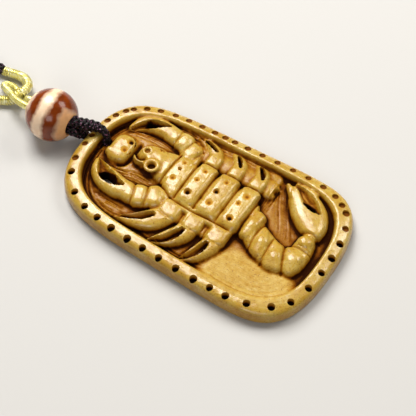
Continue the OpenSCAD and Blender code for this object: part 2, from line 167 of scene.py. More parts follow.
# %% [markdown]
# The black cord is a fine round braid. A braid is strands that run round the route in both
# ways and pass over and under each other, so each strand is a curve whose radius swells and
# sinks at the crossings. All strands of a cord become one mesh, with a plain core that
# closes the gaps between them.


# %% Helpers for strands
STRAND_SHARE = 0.135  # a strand's radius, in diameters of its cord
STRAND_LAY, OVER_UNDER = 1.25, 0.3  # how deep a strand lies and how far it weaves, in its radii


def strands_mesh(name, lines, radii):
    """One mesh object of round strands, each along its own line of points in millimetres."""
    data = bpy.data.curves.new(name, "CURVE")
    data.dimensions = "3D"
    data.bevel_depth = 1 * MM
    data.bevel_resolution = 1  # few sides are enough for a strand so thin
    data.use_fill_caps = True
    for line, radius in zip(lines, radii):
        spline = data.splines.new("POLY")
        spline.points.add(len(line) - 1)
        spline.points.foreach_set(
            "co", np.c_[line * MM, np.ones(len(line))].ravel())
        spline.points.foreach_set("radius", np.broadcast_to(radius, len(line)))
    source = bpy.data.objects.new(name + "_curve", data)
    mesh = bpy.data.meshes.new_from_object(source)
    bpy.data.objects.remove(source)
    bpy.data.curves.remove(data)
    piece = bpy.data.objects.new(name, mesh)
    bpy.context.scene.collection.objects.link(piece)
    mesh.shade_smooth()
    return piece


def braid(name, route, diameter, pitch, count, step, swells=((0, 1), (1, 1))):
    """A round braid of count strands, half of them turning each way."""
    line, along = smooth_route(route, step)
    side, up = frames_along(line)
    full = np.interp(along, *zip(*swells))
    strand_r = diameter * STRAND_SHARE * full
    lay_r = diameter / 2 * full - strand_r * STRAND_LAY
    lines, radii = [], []
    for k in range(count):
        way = 1 if k % 2 else -1
        angle = way * (2 * math.pi * along / pitch) + (k // 2) * 4 * math.pi / count
        weave = np.cos(count * math.pi * along / pitch)
        swell = lay_r + way * strand_r * OVER_UNDER * weave
        lines.append(line + (side * np.cos(angle)[:, None] + up * np.sin(angle)[:, None])
                     * swell[:, None])
        radii.append(strand_r)
    piece = strands_mesh(name, lines + [line], radii + [lay_r])
    print(name, len(piece.data.polygons), "faces,", round(along[-1], 1), "mm")
    return piece, [tuple(p * MM) for p in line], along[-1] * MM


# %% [markdown]
# The gold parts are a thin metallic thread wound round the cord in close turns. One long
# helix round a plain core shows every turn, and costs little when the thread has few sides.


# %% Helper for wound thread
TURN_GAP, POINTS_PER_TURN, HAND_WANDER = 1.04, 14, 0.03


def wound(name, route, diameter, thread):
    """A core with one thread wound closely round it."""
    line, along = smooth_route(route, 0.1)
    side, up = frames_along(line)
    turns = along[-1] / (thread * TURN_GAP)
    s = np.linspace(0, along[-1], int(turns * POINTS_PER_TURN))
    angle = 2 * math.pi * turns * s / along[-1]
    wander = np.array([noise.noise(Vector((t * 0.9, 0.3, len(name)))) for t in s])
    r = diameter / 2 - thread * 0.5 + wander * HAND_WANDER
    centre, across, over = (points_at(s, along, v) for v in (line, side, up))
    helix = centre + (across * np.cos(angle)[:, None] + over * np.sin(angle)[:, None]) * r[:, None]
    core, _ = smooth_route(route, 0.4)
    piece = strands_mesh(name, [helix, core], [thread * 0.5, diameter / 2 - thread * 0.7])
    print(name, round(turns), "turns,", len(piece.data.polygons), "faces")
    return piece


# %% Make the four cords
STRANDS = 8
LOOP_THREAD, BEND_THREAD = 0.38, 0.45
hanger, _, _ = braid(
    "hanger_cord_braid", HANGER_ROUTE, HANGER_D, 5.0, STRANDS, 0.14, HANGER_SWELLS)
loop = wound("hanger_loop_wrap", LOOP_ROUTE, LOOP_D, LOOP_THREAD)
bend = wound("neck_bend_wrap", BEND_ROUTE, BEND_D, BEND_THREAD)
neck, neck_path, neck_len = braid("neck_cord_braid", NECK_ROUTE, NECK_D, 7.5, STRANDS, 0.3)


def dress(piece, node):
    """The piece stands for one node of the frame and rides with it."""
    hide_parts(node)
    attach(piece, "root")


dress(hanger, "hanger_cord")
dress(loop, "hanger_loop")
dress(bend, "neck_bend")
dress(neck, "neck_cord")

# %% [markdown]
# ## The plate
# The real plate was sawn flat, rounded at its edge, and sunk inside a raised rim. In mesh
# code that is one outline, extruded again and again: each row of the section says how far
# in from the edge and how high it lies. The outline is a squared oval that widens a little
# towards the stinger end.

# %% Plate
HALF_L, HALF_W, RIM_Z, FIELD_Z, FLARE = 31.0, 18.3, 4.0, 2.2, 0.07
NEAR_RAISE, FAR_DROP, LEAN_REACH = 0.45, 0.6, 2.4
NEAR_HEAD_SQUARE, FAR_HEAD_SQUARE, TAIL_SQUARE, SIDE_SQUARE = 4.6, 5.2, 6.1, 2.55
SECTION = [  # how far in, height, and height in the bare field by the stinger
    (0.8, 0, 0), (0.45, 0.1, 0.1), (0.15, 0.4, 0.4), (0, 0.9, 0.9), (0, 1.9, 1.9),
    (0.08, 2.5, 2.5), (0.25, 2.98, 2.98), (0.5, 3.32, 3.32), (0.9, 3.6, 3.6),
    (1.4, 3.78, 3.78), (1.9, 3.89, 3.89), (2.4, 3.97, 3.97), (2.8, 4, 3.98),
    (3.1, 3.86, 3.85), (3.3, 3.45, 3.64), (3.5, 2.75, 3.42), (3.7, 2.05, 3.3),
    (3.95, 2.15, 3.22), (4.2, 1.8, 3.14), (4.5, 1.95, 3.06), (5.2, 2.1, 2.98),
    (6.5, 2.2, 2.9), (8, 2.2, 2.8), (9.5, 2.2, 2.6), (11, 2.2, 2.35), (12.5, 2.2, 2.2)]
BARE_X, BARE_Y, BARE_REACH_X, BARE_REACH_Y = 17.5, -13.0, 10.0, 7.5


def squared(v, n):
    """A cosine or sine, bent so that the circle becomes a squared oval."""
    return np.sign(v) * np.abs(v) ** (2 / n)


def corner_square(x, y):
    """How square the outline is: each head corner is worn rounder than the tail's."""
    head = np.where(y < 0, NEAR_HEAD_SQUARE, FAR_HEAD_SQUARE)
    return np.where(x < 0, head, TAIL_SQUARE)


def outline(turn, inset):
    """The plate's outline, drawn in by inset, at an angle or an array of them."""
    c, s = np.cos(turn), np.sin(turn)
    x = (HALF_L - inset) * squared(c, corner_square(c, s))
    return x, (HALF_W - inset) * squared(s, SIDE_SQUARE) * (1 + FLARE * x / HALF_L)


def bareness(x, y):
    """1 in the middle of the plain field beside the tail, 0 well away from it."""
    away = np.abs((x - BARE_X) / BARE_REACH_X) ** 3 + np.abs((y - BARE_Y) / BARE_REACH_Y) ** 3
    return np.clip(1.6 - 1.1 * away, 0, 1)


def lean(x, y, inset):
    """A factor for the rim's height: its outer side is full when near and worn when far."""
    middle = np.clip(1.3 - (x / 23) ** 4, 0, 1) * np.clip(1 - inset / LEAN_REACH, 0, 1)
    near, far = np.clip(-y / 8 - 0.6, 0, 1), np.clip(y / 8 - 0.6, 0, 1)
    return 1 + (near * NEAR_RAISE - far * FAR_DROP) * middle / RIM_Z


def add_plate(bm, steps=200):
    """The outline as a ring of edges, extruded through every row of the section."""
    turns = (np.arange(steps) + 0.5) * 2 * math.pi / steps
    ring = bmesh.ops.create_circle(bm, segments=steps, radius=1)["verts"]
    ring.sort(key=lambda v: math.atan2(v.co.y, v.co.x) % (2 * math.pi))
    edges = list({e for v in ring for e in v.link_edges})
    floor_edges = edges
    for row, (inset, z, bare_z) in enumerate(SECTION):
        if row:
            grown = bmesh.ops.extrude_edge_only(bm, edges=edges)["geom"]
            new = {g for g in grown if isinstance(g, bmesh.types.BMVert)}
            ring = [next(e.other_vert(v) for e in v.link_edges if e.other_vert(v) in new)
                    for v in ring]
            edges = [g for g in grown if isinstance(g, bmesh.types.BMEdge)
                     and g.verts[0] in new and g.verts[1] in new]
        x, y = outline(turns, inset)
        height = (z + (bare_z - z) * bareness(x, y)) * lean(x, y, inset)
        for v, px, py, pz in zip(ring, x, y, height):
            v.co = (px, py, pz)
    bmesh.ops.holes_fill(bm, edges=floor_edges, sides=0)
    bmesh.ops.holes_fill(bm, edges=edges, sides=0)
    bmesh.ops.recalc_face_normals(bm, faces=bm.faces)


carving = bmesh.new()
add_plate(carving)
print("plate shell:", len(carving.faces), "faces")

# %% [markdown]
# ## The raised figure
# A carver leaves the scorpion standing and rounds each form. Here each form is a pillow: a
# sphere that is squared a little, so its top is broad and its foot is steep. A limb is a
# smooth row of pillows, each joined to the next by their convex hull. The overlapping shells
# are fused later in one pass.


# %% Helpers for carved forms
FORM_BASE, FORM_ROOT = FIELD_Z - 0.5, 0.8  # a form's widest level, and how far it goes below that


def add_shell(target, bm):
    """Moves a finished small bmesh into the carving."""
    shell = bpy.data.meshes.new("shell")
    bm.to_mesh(shell)
    bm.free()
    target.from_mesh(shell)
    bpy.data.meshes.remove(shell)


def pillow(bm, x, y, top, rx, ry=None, turn=0, square=2.0, full=0.72):
    """A squared half-sphere standing in the field."""
    verts = bmesh.ops.create_uvsphere(bm, u_segments=24, v_segments=12, radius=1)["verts"]
    for v in verts:
        flat = math.hypot(v.co.x, v.co.y)
        if flat > 1e-6:
            c, s = abs(v.co.x) / flat, abs(v.co.y) / flat
            v.co.xy = v.co.xy / flat * flat ** full / (c ** square + s ** square) ** (1 / square)
        v.co.z = math.copysign(abs(v.co.z) ** full, v.co.z)
    bmesh.ops.scale(bm, vec=(rx, ry or rx, top - FORM_BASE), verts=verts)
    for v in verts:
        v.co.z = max(v.co.z, -FORM_ROOT)
    bmesh.ops.rotate(bm, cent=(0, 0, 0), matrix=Matrix.Rotation(math.radians(turn), 3, "Z"),
                     verts=verts)
    bmesh.ops.translate(bm, vec=(x, y, FORM_BASE), verts=verts)


def close_hull(bm):
    """Turns all that a bmesh holds into its one convex hull."""
    bmesh.ops.delete(bm, geom=bm.edges[:], context="EDGES_FACES")
    made = bmesh.ops.convex_hull(bm, input=bm.verts[:], use_existing_faces=False)
    spare = {g for g in made["geom_interior"] + made["geom_unused"]
             if isinstance(g, bmesh.types.BMVert)}
    bmesh.ops.delete(bm, geom=[v for v in spare if v.is_valid], context="VERTS")


def hulled(target, rows):
    """The hull of a few pillows, added to target as one closed shell."""
    bm = bmesh.new()
    for row in rows:
        pillow(bm, *row)
    close_hull(bm)
    add_shell(target, bm)


def limb(target, knobs, per_gap=4):
    """A smooth limb through a few knobs of x, y, top and radius."""
    k = np.array(knobs, float)
    ends = np.vstack([2 * k[0] - k[1], k, 2 * k[-1] - k[-2]])
    rows = []
    for f in np.linspace(0, len(k) - 1, (len(k) - 1) * per_gap + 1):
        i = min(int(f), len(k) - 2)
        rows.append(on_curve(*ends[i:i + 4], f - i))
    for a, b in zip(rows, rows[1:]):
        hulled(target, [tuple(a), tuple(b)])


# %% [markdown]
# The places of the forms were measured on the photograph and set down as short tables: x
# and y on the plate, the height of the form's top, and its radius. Heights rise from the
# legs and claws to the middle of the back. Claws, legs and stinger are each one full form,
# and a leaf-shaped hollow is scooped out of it afterwards, as the carver did.

# %% Tables of the scorpion
BACK_Z, HEAD_Z, LIMB_Z = 5.2, 4.8, 4.3
LIMBS = {
    "near claw": [(-24.9, -3.3, 3.4, 0.9), (-23.3, -4.9, 4, 2.1), (-20.7, -6.1, 4.3, 2.9),
                  (-17.6, -6.8, 4.4, 2.8), (-15.6, -6.6, 4.4, 2.5)],
    "far claw": [(-23.9, 8.1, 3.4, 0.8), (-22.2, 10.3, 4, 1.9), (-19.6, 11.2, 4.3, 2.4),
                 (-17, 11.3, 4.4, 2.3), (-15.2, 11.1, 4.4, 2.3)],
    "stinger": [(23.3, 5.6, 4.5, 2.1), (22.1, 7.4, 4.6, 3.3), (20.1, 9.5, 4.5, 4),
                (17.6, 11.6, 4.3, 3.4), (15.6, 13.2, 3.9, 2.2)],
    "stinger point": [(16, 11, 4, 1.3), (14.2, 12.5, 3.8, 1.1), (12.5, 13.7, 3.3, 0.5)],
    "stinger back": [(18.6, 13.9, 3.9, 1.3), (16.2, 14.5, 3.7, 1), (14.2, 14.6, 3.3, 0.5)],
    "near leg 1": [(-4.8, -7, 4.3, 2.5), (-6.7, -9.6, 4.2, 2.7), (-9.6, -11.6, 3.9, 2),
                   (-12, -12.5, 3.5, 1.2), (-14.1, -13, 3, 0.4)],
    "near leg 2": [(0.95, -7, 4.3, 2.4), (0.1, -9.6, 4.2, 2.5), (-1.7, -11.9, 3.9, 2),
                   (-3.4, -13.3, 3.5, 1.2), (-4.9, -14.1, 3, 0.4)],
    "near leg 3": [(6.9, -7, 4.3, 2.3), (6.5, -9.6, 4.2, 2.3), (5.3, -12.1, 3.9, 1.9),
                   (4.2, -13.6, 3.5, 1.2), (3.1, -14.6, 3, 0.4)],
    "far leg 1": [(-3.7, 10.4, 4.3, 1.9), (-4.6, 11.8, 4.1, 1.8), (-6.4, 13, 3.8, 1.3),
                  (-8.6, 13.9, 3.2, 0.6)],
    "far leg 2": [(1.9, 10.4, 4.3, 1.9), (1.6, 11.8, 4.1, 1.8), (0.5, 13, 3.8, 1.4),
                  (-1.2, 14, 3.2, 0.6)],
    "far leg 3": [(7.2, 10.4, 4.3, 2), (7.1, 11.6, 4.1, 1.95), (6.3, 13, 3.8, 1.6),
                  (4.7, 14.1, 3.2, 0.6)],
    "lip": [(-18.7, 1.3, 4.7, 0.35), (-17.4, 0.3, 5, 0.4), (-15.8, 0.5, 5, 0.35)]}
PILLOWS = [  # x, y, top, half width, half length, turn, squareness, fullness
    (-8.2, 2.6, BACK_Z - 0.5, 2.2, 5.1, 6, 6, 0.5),
    (-3.35, 2.3, BACK_Z - 0.1, 2.25, 6, 0, 9, 0.45),
    (1.9, 2.2, BACK_Z, 2.5, 6.1, 0, 9, 0.45), (7.3, 2.1, BACK_Z - 0.1, 2.3, 6, 0, 9, 0.45),
    (-14.8, 3, HEAD_Z, 4.2, 3.7, 0, 2.4, 0.66), (-22.3, 1.9, HEAD_Z - 0.35, 2.7, 3.8, 4, 3, 0.55),
    (-12.3, -6.3, 4.5, 1.85, 2.9, 24, 4, 0.6), (-9.4, -4.8, 4.5, 1.8, 3, 34, 4, 0.6),
    (-11.9, 10.6, 4.5, 1.8, 2.5, -8, 4, 0.6), (-8.9, 8.9, 4.5, 1.9, 2.7, -30, 4, 0.6),
    (-4.8, -5.9, 4.4, 2.65, 2.3, 0, 5, 0.5), (0.95, -5.9, 4.4, 2.5, 2.3, 0, 5, 0.5),
    (6.9, -5.9, 4.4, 2.45, 2.3, 0, 5, 0.5), (-3.7, 9.6, 4.4, 1.85, 2, 0, 5, 0.55),
    (1.9, 9.6, 4.4, 1.85, 2, 0, 5, 0.55), (7.2, 9.6, 4.4, 1.95, 2, 0, 5, 0.55),
    (-24.1, 0.1, HEAD_Z - 0.6, 1.2, 1.2, 0, 2, 0.7), (-17, 2.4, 3.05, 8.6, 7, 0, 2.2, 0.5)]
BANDS = [  # low stretches that join the pillows: x, y, top, radius
    [(-11.4, 3, BACK_Z - 0.6, 4.4), (6.6, 2.4, BACK_Z - 0.45, 5)],
    [(-7.4, -1, BACK_Z - 0.8, 2.3), (7.8, -1.6, BACK_Z - 0.55, 2.5)],
    [(-5.6, -4, 4.3, 1.2), (8.2, -4, 4.3, 1.2)],
    [(-5, -6.3, 3.5, 1.6), (7.6, -6.3, 3.5, 1.6)],
    [(-7.4, 10.4, 3.5, 2.6), (9.6, 10.6, 3.5, 2.6)],
    [(-13.6, 13.4, 2.9, 1.9), (-8.4, 13.2, 3, 2.4), (8.8, 13.4, 3, 2.4)],
    [(11.2, 0.2, 4.2, 3), (15.4, -2.2, 4.25, 3.3), (19.8, -3.5, 4.2, 3.3),
     (23, -2.2, 4.2, 2.9), (23.3, 2.4, 4.2, 2.2)],
    [(-15.6, -6.7, 4.35, 2.5), (-12.3, -6.4, 4.35, 2.7), (-9.4, -4.8, 4.35, 2.6),
     (-7.5, -2.5, 4.2, 1.8)],
    [(-15.4, 11, 4.35, 2.3), (-11.9, 10.6, 4.35, 2.4), (-9, 8.9, 4.35, 2.4),
     (-7.6, 7, 4.2, 1.8)]]
LOBES = [  # corners of the tail's wedges, then its middle: x, y, top, radius
    [(11.5, 3, 4.3, 1.3), (12.3, 2.7, 4.3, 1.3), (12.4, 1.2, 4.4, 1.3),
     (12, -2.2, 4.3, 1.5), (11.5, -2.2, 4.3, 1.5), (11.8, 0.2, 4.85, 1.9)],
    [(15, 0.2, 4.2, 1), (15.6, -1.2, 4.3, 1.4), (16, -4.5, 4.2, 1.5),
     (15.3, -4.2, 4.2, 1.5), (15.6, -2.2, 4.8, 1.9)],
    [(18.5, -1.4, 4.2, 0.9), (19.3, -1.6, 4.2, 1), (20.9, -5.5, 4.1, 1.5),
     (19.4, -5.6, 4.1, 1.6), (19.6, -3.9, 4.75, 2.1)],
    [(21.4, -1, 4.2, 1.2), (24, -0.9, 4.2, 1.3), (24.2, -3.4, 4.1, 1.5),
     (23.6, -4.6, 4.1, 1.6), (23.1, -2.4, 4.75, 2.3)],
    [(22.4, 2, 4.2, 1.2), (24, 2, 4.2, 1.3), (23.9, 3, 4.2, 1.3),
     (22.6, 3, 4.2, 1.3), (23.1, 2.5, 4.7, 2)]]
EYE_RINGS = [  # x, y, radius, thickness, height
    (-13.9, 0.7, 1.35, 0.4, HEAD_Z), (-16.8, 3.6, 0.95, 0.2, HEAD_Z - 0.1)]

# %% Carve the scorpion
for knobs in LIMBS.values():
    limb(carving, knobs)
for x, y, top, rx, ry, turn, square, full in PILLOWS:
    pillow(carving, x, y, top, rx, ry, turn, square, full)
for band in BANDS:
    limb(carving, band, 2)
for lobe in LOBES:
    hulled(carving, lobe)


def eye_ring(target, x, y, radius, thick, z):
    """A raised ring: a small circle spun once round."""
    bm = bmesh.new()
    ring = bmesh.ops.create_circle(bm, segments=12, radius=thick)["verts"]
    bmesh.ops.rotate(bm, cent=(0, 0, 0), matrix=Matrix.Rotation(math.pi / 2, 3, "X"), verts=ring)
    bmesh.ops.translate(bm, vec=(radius, 0, 0), verts=ring)
    bmesh.ops.spin(bm, geom=bm.edges[:] + bm.verts[:], cent=(0, 0, 0), axis=(0, 0, 1),
                   angle=2 * math.pi, steps=28, use_merge=True, use_duplicate=False)
    bmesh.ops.remove_doubles(bm, verts=bm.verts, dist=1e-4)
    bmesh.ops.recalc_face_normals(bm, faces=bm.faces)
    bmesh.ops.translate(bm, vec=(x, y, z), verts=bm.verts)
    add_shell(target, bm)


for ring in EYE_RINGS:
    eye_ring(carving, *ring)
print("carved shells:", len(carving.faces), "faces")

# %% [markdown]
# Fusing: a voxel remesh at about a quarter of a millimetre turns the overlapping shells
# into one skin, the way a fine rasp would, and a little smoothing polishes its edges. The
# flat back needs no such fine mesh, so its faces are dissolved into one.


# %% Fuse and polish
VOXEL = 0.22


def object_from(bm, name):
    """A new object of the bmesh, which ends here."""
    mesh = bpy.data.meshes.new(name)
    bm.to_mesh(mesh)
    bm.free()
    piece = bpy.data.objects.new(name, mesh)
    bpy.context.scene.collection.objects.link(piece)
    return piece


def apply_modifiers(piece):
    """The piece's mesh becomes what its modifiers show."""
    graph = bpy.context.evaluated_depsgraph_get()
    done = bpy.data.meshes.new_from_object(piece.evaluated_get(graph))
    old = piece.data
    piece.modifiers.clear()
    piece.data = done
    done.name = piece.name
    bpy.data.meshes.remove(old)


amulet = object_from(carving, "amulet_carving")
remesh = amulet.modifiers.new("fuse", "REMESH")
remesh.mode = "VOXEL"
remesh.voxel_size = VOXEL
smooth = amulet.modifiers.new("polish", "SMOOTH")
smooth.factor = 0.5
smooth.iterations = 3
apply_modifiers(amulet)

bm = bmesh.new()
bm.from_mesh(amulet.data)
for v in bm.verts:
    v.co.z = max(v.co.z, 0)
flat = [f for f in bm.faces if all(v.co.z < 1e-3 for v in f.verts)]
bmesh.ops.dissolve_faces(bm, faces=flat, use_verts=False)
bm.to_mesh(amulet.data)
bm.free()
print("fused skin:", len(amulet.data.polygons), "faces,", len(flat), "dissolved in the back")

# %% [markdown]
# ## The chisel
# A gouge leaves leaf-shaped hollows in the claws, legs and stinger, and a V-shaped tool the
# lines between the forms. Both only lower the points of the skin that lie near a path, so
# each is a path, a half width and a depth. Rows of short strokes beside each other are the
# tool marks that the carver left in the ground, and a little noise is the hand's unevenness.

# %% Tables of the chisel's work
LEAVES = [  # each a floor height, then x, y and half width of its bays
    (2.6, (-24.6, -2.9, 0.3), (-22.6, -4.8, 1.3), (-20.9, -5.9, 1.7), (-18.6, -6.4, 1.2),
     (-16.8, -6.3, 0.5)),
    (2.6, (-23.6, 7.7, 0.3), (-21.7, 9.6, 0.9), (-19.9, 10.8, 1.2), (-18, 11.6, 0.7),
     (-16.5, 12.1, 0.25)),
    (2.9, (21.9, 10.1, 0.5), (19.9, 11.1, 1.5), (17.7, 12.6, 1.45), (15.8, 13.6, 0.8),
     (13.7, 14.4, 0.3)),
    (2.5, (-7.3, -9.1, 0.75), (-9.1, -10.5, 1.1), (-11.6, -11.9, 0.8), (-14, -12.9, 0.3)),
    (2.5, (0.1, -8.9, 0.7), (-0.8, -10.9, 1.1), (-2.4, -12.9, 0.9), (-4.6, -14.2, 0.35)),
    (2.5, (6.1, -9.1, 0.65), (5.6, -11, 1.05), (4.5, -13, 0.85), (3.2, -14.5, 0.35)),
    (1.9, (-4.5, 12.1, 0.3), (-6.1, 12.9, 0.45), (-8, 13.7, 0.35)),
    (1.9, (1.9, 11.3, 0.3), (1.2, 12.5, 0.5), (0.1, 13.8, 0.35)),
    (1.9, (7.5, 11.2, 0.35), (6.9, 12.5, 0.6), (5.7, 13.9, 0.4)),
    (2, (12, 10.5, 1.2), (14.6, 7.4, 1.5), (17.4, 4.2, 2.3), (18.5, 2.4, 2.3),
     (18.3, 1, 1.2))]
LINES = [  # depth, half width, then the path
    (0.55, 0.28, (-10.6, -1.6), (-8.6, -2.4), (-6.4, -3.5), (-3.6, -3.9), (0, -4),
     (4.4, -3.8), (9.6, -3.9)),
    (0.5, 0.26, (-10.3, 7.4), (-10.4, 3), (-10.6, -1.4)),
    (0.5, 0.26, (-6, 8.6), (-5.8, 3), (-5.8, -3.4)),
    (0.5, 0.26, (-1, 8.4), (-0.9, 3), (-0.9, -3.6)),
    (0.5, 0.26, (4.6, 8.4), (4.7, 3), (4.7, -3.6)),
    (0.5, 0.26, (9.8, 8), (9.9, 3), (9.9, -3.7)),
    (0.25, 0.2, (-5.4, 8), (-1.4, 8.1)), (0.25, 0.2, (0.2, 8), (3.8, 8.1)),
    (0.25, 0.2, (5.4, 8), (9.2, 8)), (0.2, 0.2, (-7, -7.3), (-5, -7.9), (-2.8, -7.9)),
    (0.2, 0.2, (-1, -7.9), (1, -8.1), (3, -7.9)), (0.2, 0.2, (5, -7.9), (7, -8.1), (8.8, -7.9)),
    (0.4, 0.24, (-14.8, -4), (-13.6, -6.6), (-13, -9.1)),
    (0.4, 0.24, (-11.9, -3.4), (-10.7, -6.1), (-10.2, -8.3)),
    (0.35, 0.24, (-13.6, 13.2), (-13.3, 10.6), (-13.5, 8.2)),
    (0.35, 0.24, (-9.8, 12.4), (-10.2, 9.8), (-11, 7.2)),
    (0.35, 0.24, (-6.9, 10.6), (-7.2, 8.8), (-7.6, 7.2)),
    (0.4, 0.24, (14, 2.2), (13.6, -1), (13.8, -5.4)),
    (0.4, 0.24, (17.2, 0.4), (17.4, -3.2), (17.7, -7)),
    (0.4, 0.24, (19.9, 0.2), (21, -3), (22.8, -6.8)),
    (0.4, 0.24, (20, 0.5), (23, 0.4), (26, 0.3)),
    (0.25, 0.18, (21, 1.1), (23, 1.1), (25.4, 1)),
    (0.4, 0.24, (21, 4.4), (23.4, 4.8), (25.6, 4.3)),
    (0.9, 0.4, (-18.7, 2.2), (-17.5, 1.25), (-16, 1.7)),
    (0.7, 0.4, (-19.5, 5.6), (-19.2, 2.4), (-19.6, -1), (-21.4, -2.2)),
    (0.15, 0.2, (8.6, -14.6), (16, -14.9), (22, -13.4), (26, -10), (27.4, -6.4)),
    (0.12, 0.2, (9.4, -13.7), (16, -13.9), (21.4, -12.5), (25, -9.4))]
MARKS = [  # how many, step to the next, depth, half width, then the first one's path
    (4, (0, 0.5), 0.22, 0.17, (-24.4, 6), (-21, 7), (-16.5, 7.2), (-12, 6.9)),
    (5, (0.1, -0.5), 0.22, 0.17, (-23.6, -2.2), (-20, -2.4), (-16, -1.6), (-11.8, -1.6)),
    (5, (0.3, -0.5), 0.25, 0.17, (-21.8, -9.5), (-18, -10.2), (-13.8, -10)),
    (3, (0.5, 0.35), 0.2, 0.16, (-14, -12.7), (-11, -11.8), (-7.2, -9.4)),
    (3, (0.6, 0.1), 0.2, 0.16, (-4.2, -13.8), (-2.2, -11.9), (-0.4, -9.2)),
    (3, (0.6, 0.05), 0.2, 0.16, (3.4, -14.2), (4.9, -12), (5.7, -9.2)),
    (3, (0.6, 0.1), 0.22, 0.17, (-3, -12.9), (-2, -9.5), (-2, -5.2)),
    (3, (0.6, 0), 0.22, 0.17, (2.4, -13.6), (3.6, -9.5), (3.6, -5.2)),
    (5, (0.65, 0.1), 0.16, 0.17, (11, 12.6), (13, 8.4), (15.6, 4.6), (17, 1.6)),
    (4, (0.6, 0.3), 0.18, 0.17, (15, 14.2), (16.6, 12.6), (18.4, 11.4)),
    (4, (0, 0.5), 0.22, 0.17, (-12.6, 13), (-9, 12.2), (-6.6, 10.4)),
    (4, (0.5, 0), 0.2, 0.17, (10.2, 12.8), (10.2, 9), (10.4, 5.6)),
    (4, (1.5, -1.6), 0.04, 0.16, (10.5, -7.6), (14, -8.2), (19, -8)),
    (3, (-1.2, -1.7), 0.04, 0.16, (25.4, -7.8), (22, -9.3), (18, -9.6))]


# %% Chisel the hollows, lines and tool marks
CARVED_FROM = 1.6  # nothing lower than this is touched, in millimetres
HAND_SEED = 4  # without a seed, noise_vector gives other tool marks in each run
MARK_WANDER = 0.5  # how far the hand strays from a mark's path
UNEVEN = [(0.05, 0.8), (0.02, 2.1)]  # the surface's unevenness: height, and waves in a millimetre
STROKE_PITCH, STROKE_DEPTH = 0.75, 0.34
STROKES_IN, STROKES_OUT = (3.6, 0.3), (5.6, 0.8)  # insets between which they lie, with fades
STROKES_END_X, STROKES_TOP = (9, 4), (3.2, 0.4)  # and the x and the height that they end at


def nearest(x, y, path, widths):
    """Distance to a path in widths, and how far along it the nearest point is."""
    best, share = np.full(len(x), 1e9), np.zeros(len(x))
    for k in range(len(path) - 1):
        (ax, ay), (bx, by) = path[k], path[k + 1]
        run = (bx - ax) ** 2 + (by - ay) ** 2
        t = np.clip(((x - ax) * (bx - ax) + (y - ay) * (by - ay)) / run, 0, 1)
        wide = widths[k] + (widths[k + 1] - widths[k]) * t
        away = np.hypot(x - ax - t * (bx - ax), y - ay - t * (by - ay)) / wide
        closer = away < best
        best = np.where(closer, away, best)
        share = np.where(closer, (k + t) / (len(path) - 1), share)
    return best, share


def line_cut(co, depth, width, path):
    """A V-shaped line that fades at both ends."""
    x, y, z = co.T
    path = smooth_route([(*p, 0) for p in path], 0.7)[0][:, :2]
    away, share = nearest(x, y, path, [width] * len(path))
    fade = np.clip(np.minimum(share, 1 - share) * 8 + 0.3, 0, 1)
    co[:, 2] -= depth * fade * np.exp(-away ** 2) * np.clip((z - CARVED_FROM) / 0.4, 0, 1)


def inset_of(x, y):
    """About how far in from the plate's edge a point lies."""
    across = np.abs(y) / (HALF_W * (1 + FLARE * x / HALF_L))
    share = (np.abs(x / HALF_L) ** corner_square(x, y) + across ** SIDE_SQUARE) ** (1 / SIDE_SQUARE)
    return np.clip(1 - share, 0, 1) * HALF_W


def before(value, limit):
    """1 well before a limit and 0 past it, with a fade of the limit's second number."""
    return np.clip((limit[0] - value) / limit[1], 0, 1)


def foot_strokes(co):
    """Strokes beside each other along the foot of the rim, not by the stinger."""
    x, y, z = co.T
    inset = inset_of(x, y)
    there = (np.clip((inset - STROKES_IN[0]) / STROKES_IN[1], 0, 1)
             * before(inset, STROKES_OUT) * before(x, STROKES_END_X) * before(z, STROKES_TOP))
    phase = inset / STROKE_PITCH + 0.4 * np.sin(0.31 * x + 1) + 0.4 * np.sin(0.27 * y)
    co[:, 2] -= STROKE_DEPTH * there * (0.5 + 0.5 * np.cos(2 * math.pi * phase))


def vectors_of(items, name):
    """One of the vectors of every point or face, as an array."""
    values = np.empty(len(items) * 3)
    items.foreach_get(name, values)
    return values.reshape(-1, 3)


def chisel(mesh):
    """Lowers the mesh's points in the hollows, lines and marks, and makes it uneven."""
    co = vectors_of(mesh.vertices, "co")
    top = co[:, 2] > CARVED_FROM
    cut = co[top]
    for floor, *bays in LEAVES:
        bays = smooth_route(bays, 0.6)[0]
        away, _ = nearest(cut[:, 0], cut[:, 1], bays[:, :2], bays[:, 2])
        wall = np.clip((away - 0.3) / 0.7, 0, 1) ** 2
        lower = floor + (cut[:, 2] - floor) * wall
        cut[:, 2] = np.where(away < 1, np.minimum(cut[:, 2], lower), cut[:, 2])
    foot_strokes(cut)
    for depth, width, *path in LINES:
        line_cut(cut, depth, width, path)
    for row, (count, step, depth, width, *path) in enumerate(MARKS):
        for k in range(count):
            wander = [noise.noise_vector(Vector((row * 3.1 + i, k * 5.7, 0.5))) * MARK_WANDER
                      for i in range(len(path))]
            moved = [(x + k * step[0] + w.x, y + k * step[1] + w.y)
                     for (x, y), w in zip(path, wander)]
            line_cut(cut, depth * (1 + wander[0].z), width, moved)
    for p in cut:
        at = Vector(p)
        p[2] += sum(height * noise.noise(at * waves) for height, waves in UNEVEN)
    co[top] = cut
    mesh.vertices.foreach_set("co", co.ravel())
    mesh.update()
    print("chiselled", int(top.sum()), "points")


noise.seed_set(HAND_SEED)
chisel(amulet.data)

# %% [markdown]
# ## The drill
# The drill comes after the chisel, so the edges of its holes stay crisp. Cutters that do not
# touch each other share one mesh and one Boolean, and those that do go into the next: the
# dots in the rim, then the pits and pierced openings, then the groove that the returning
# cord lies in.

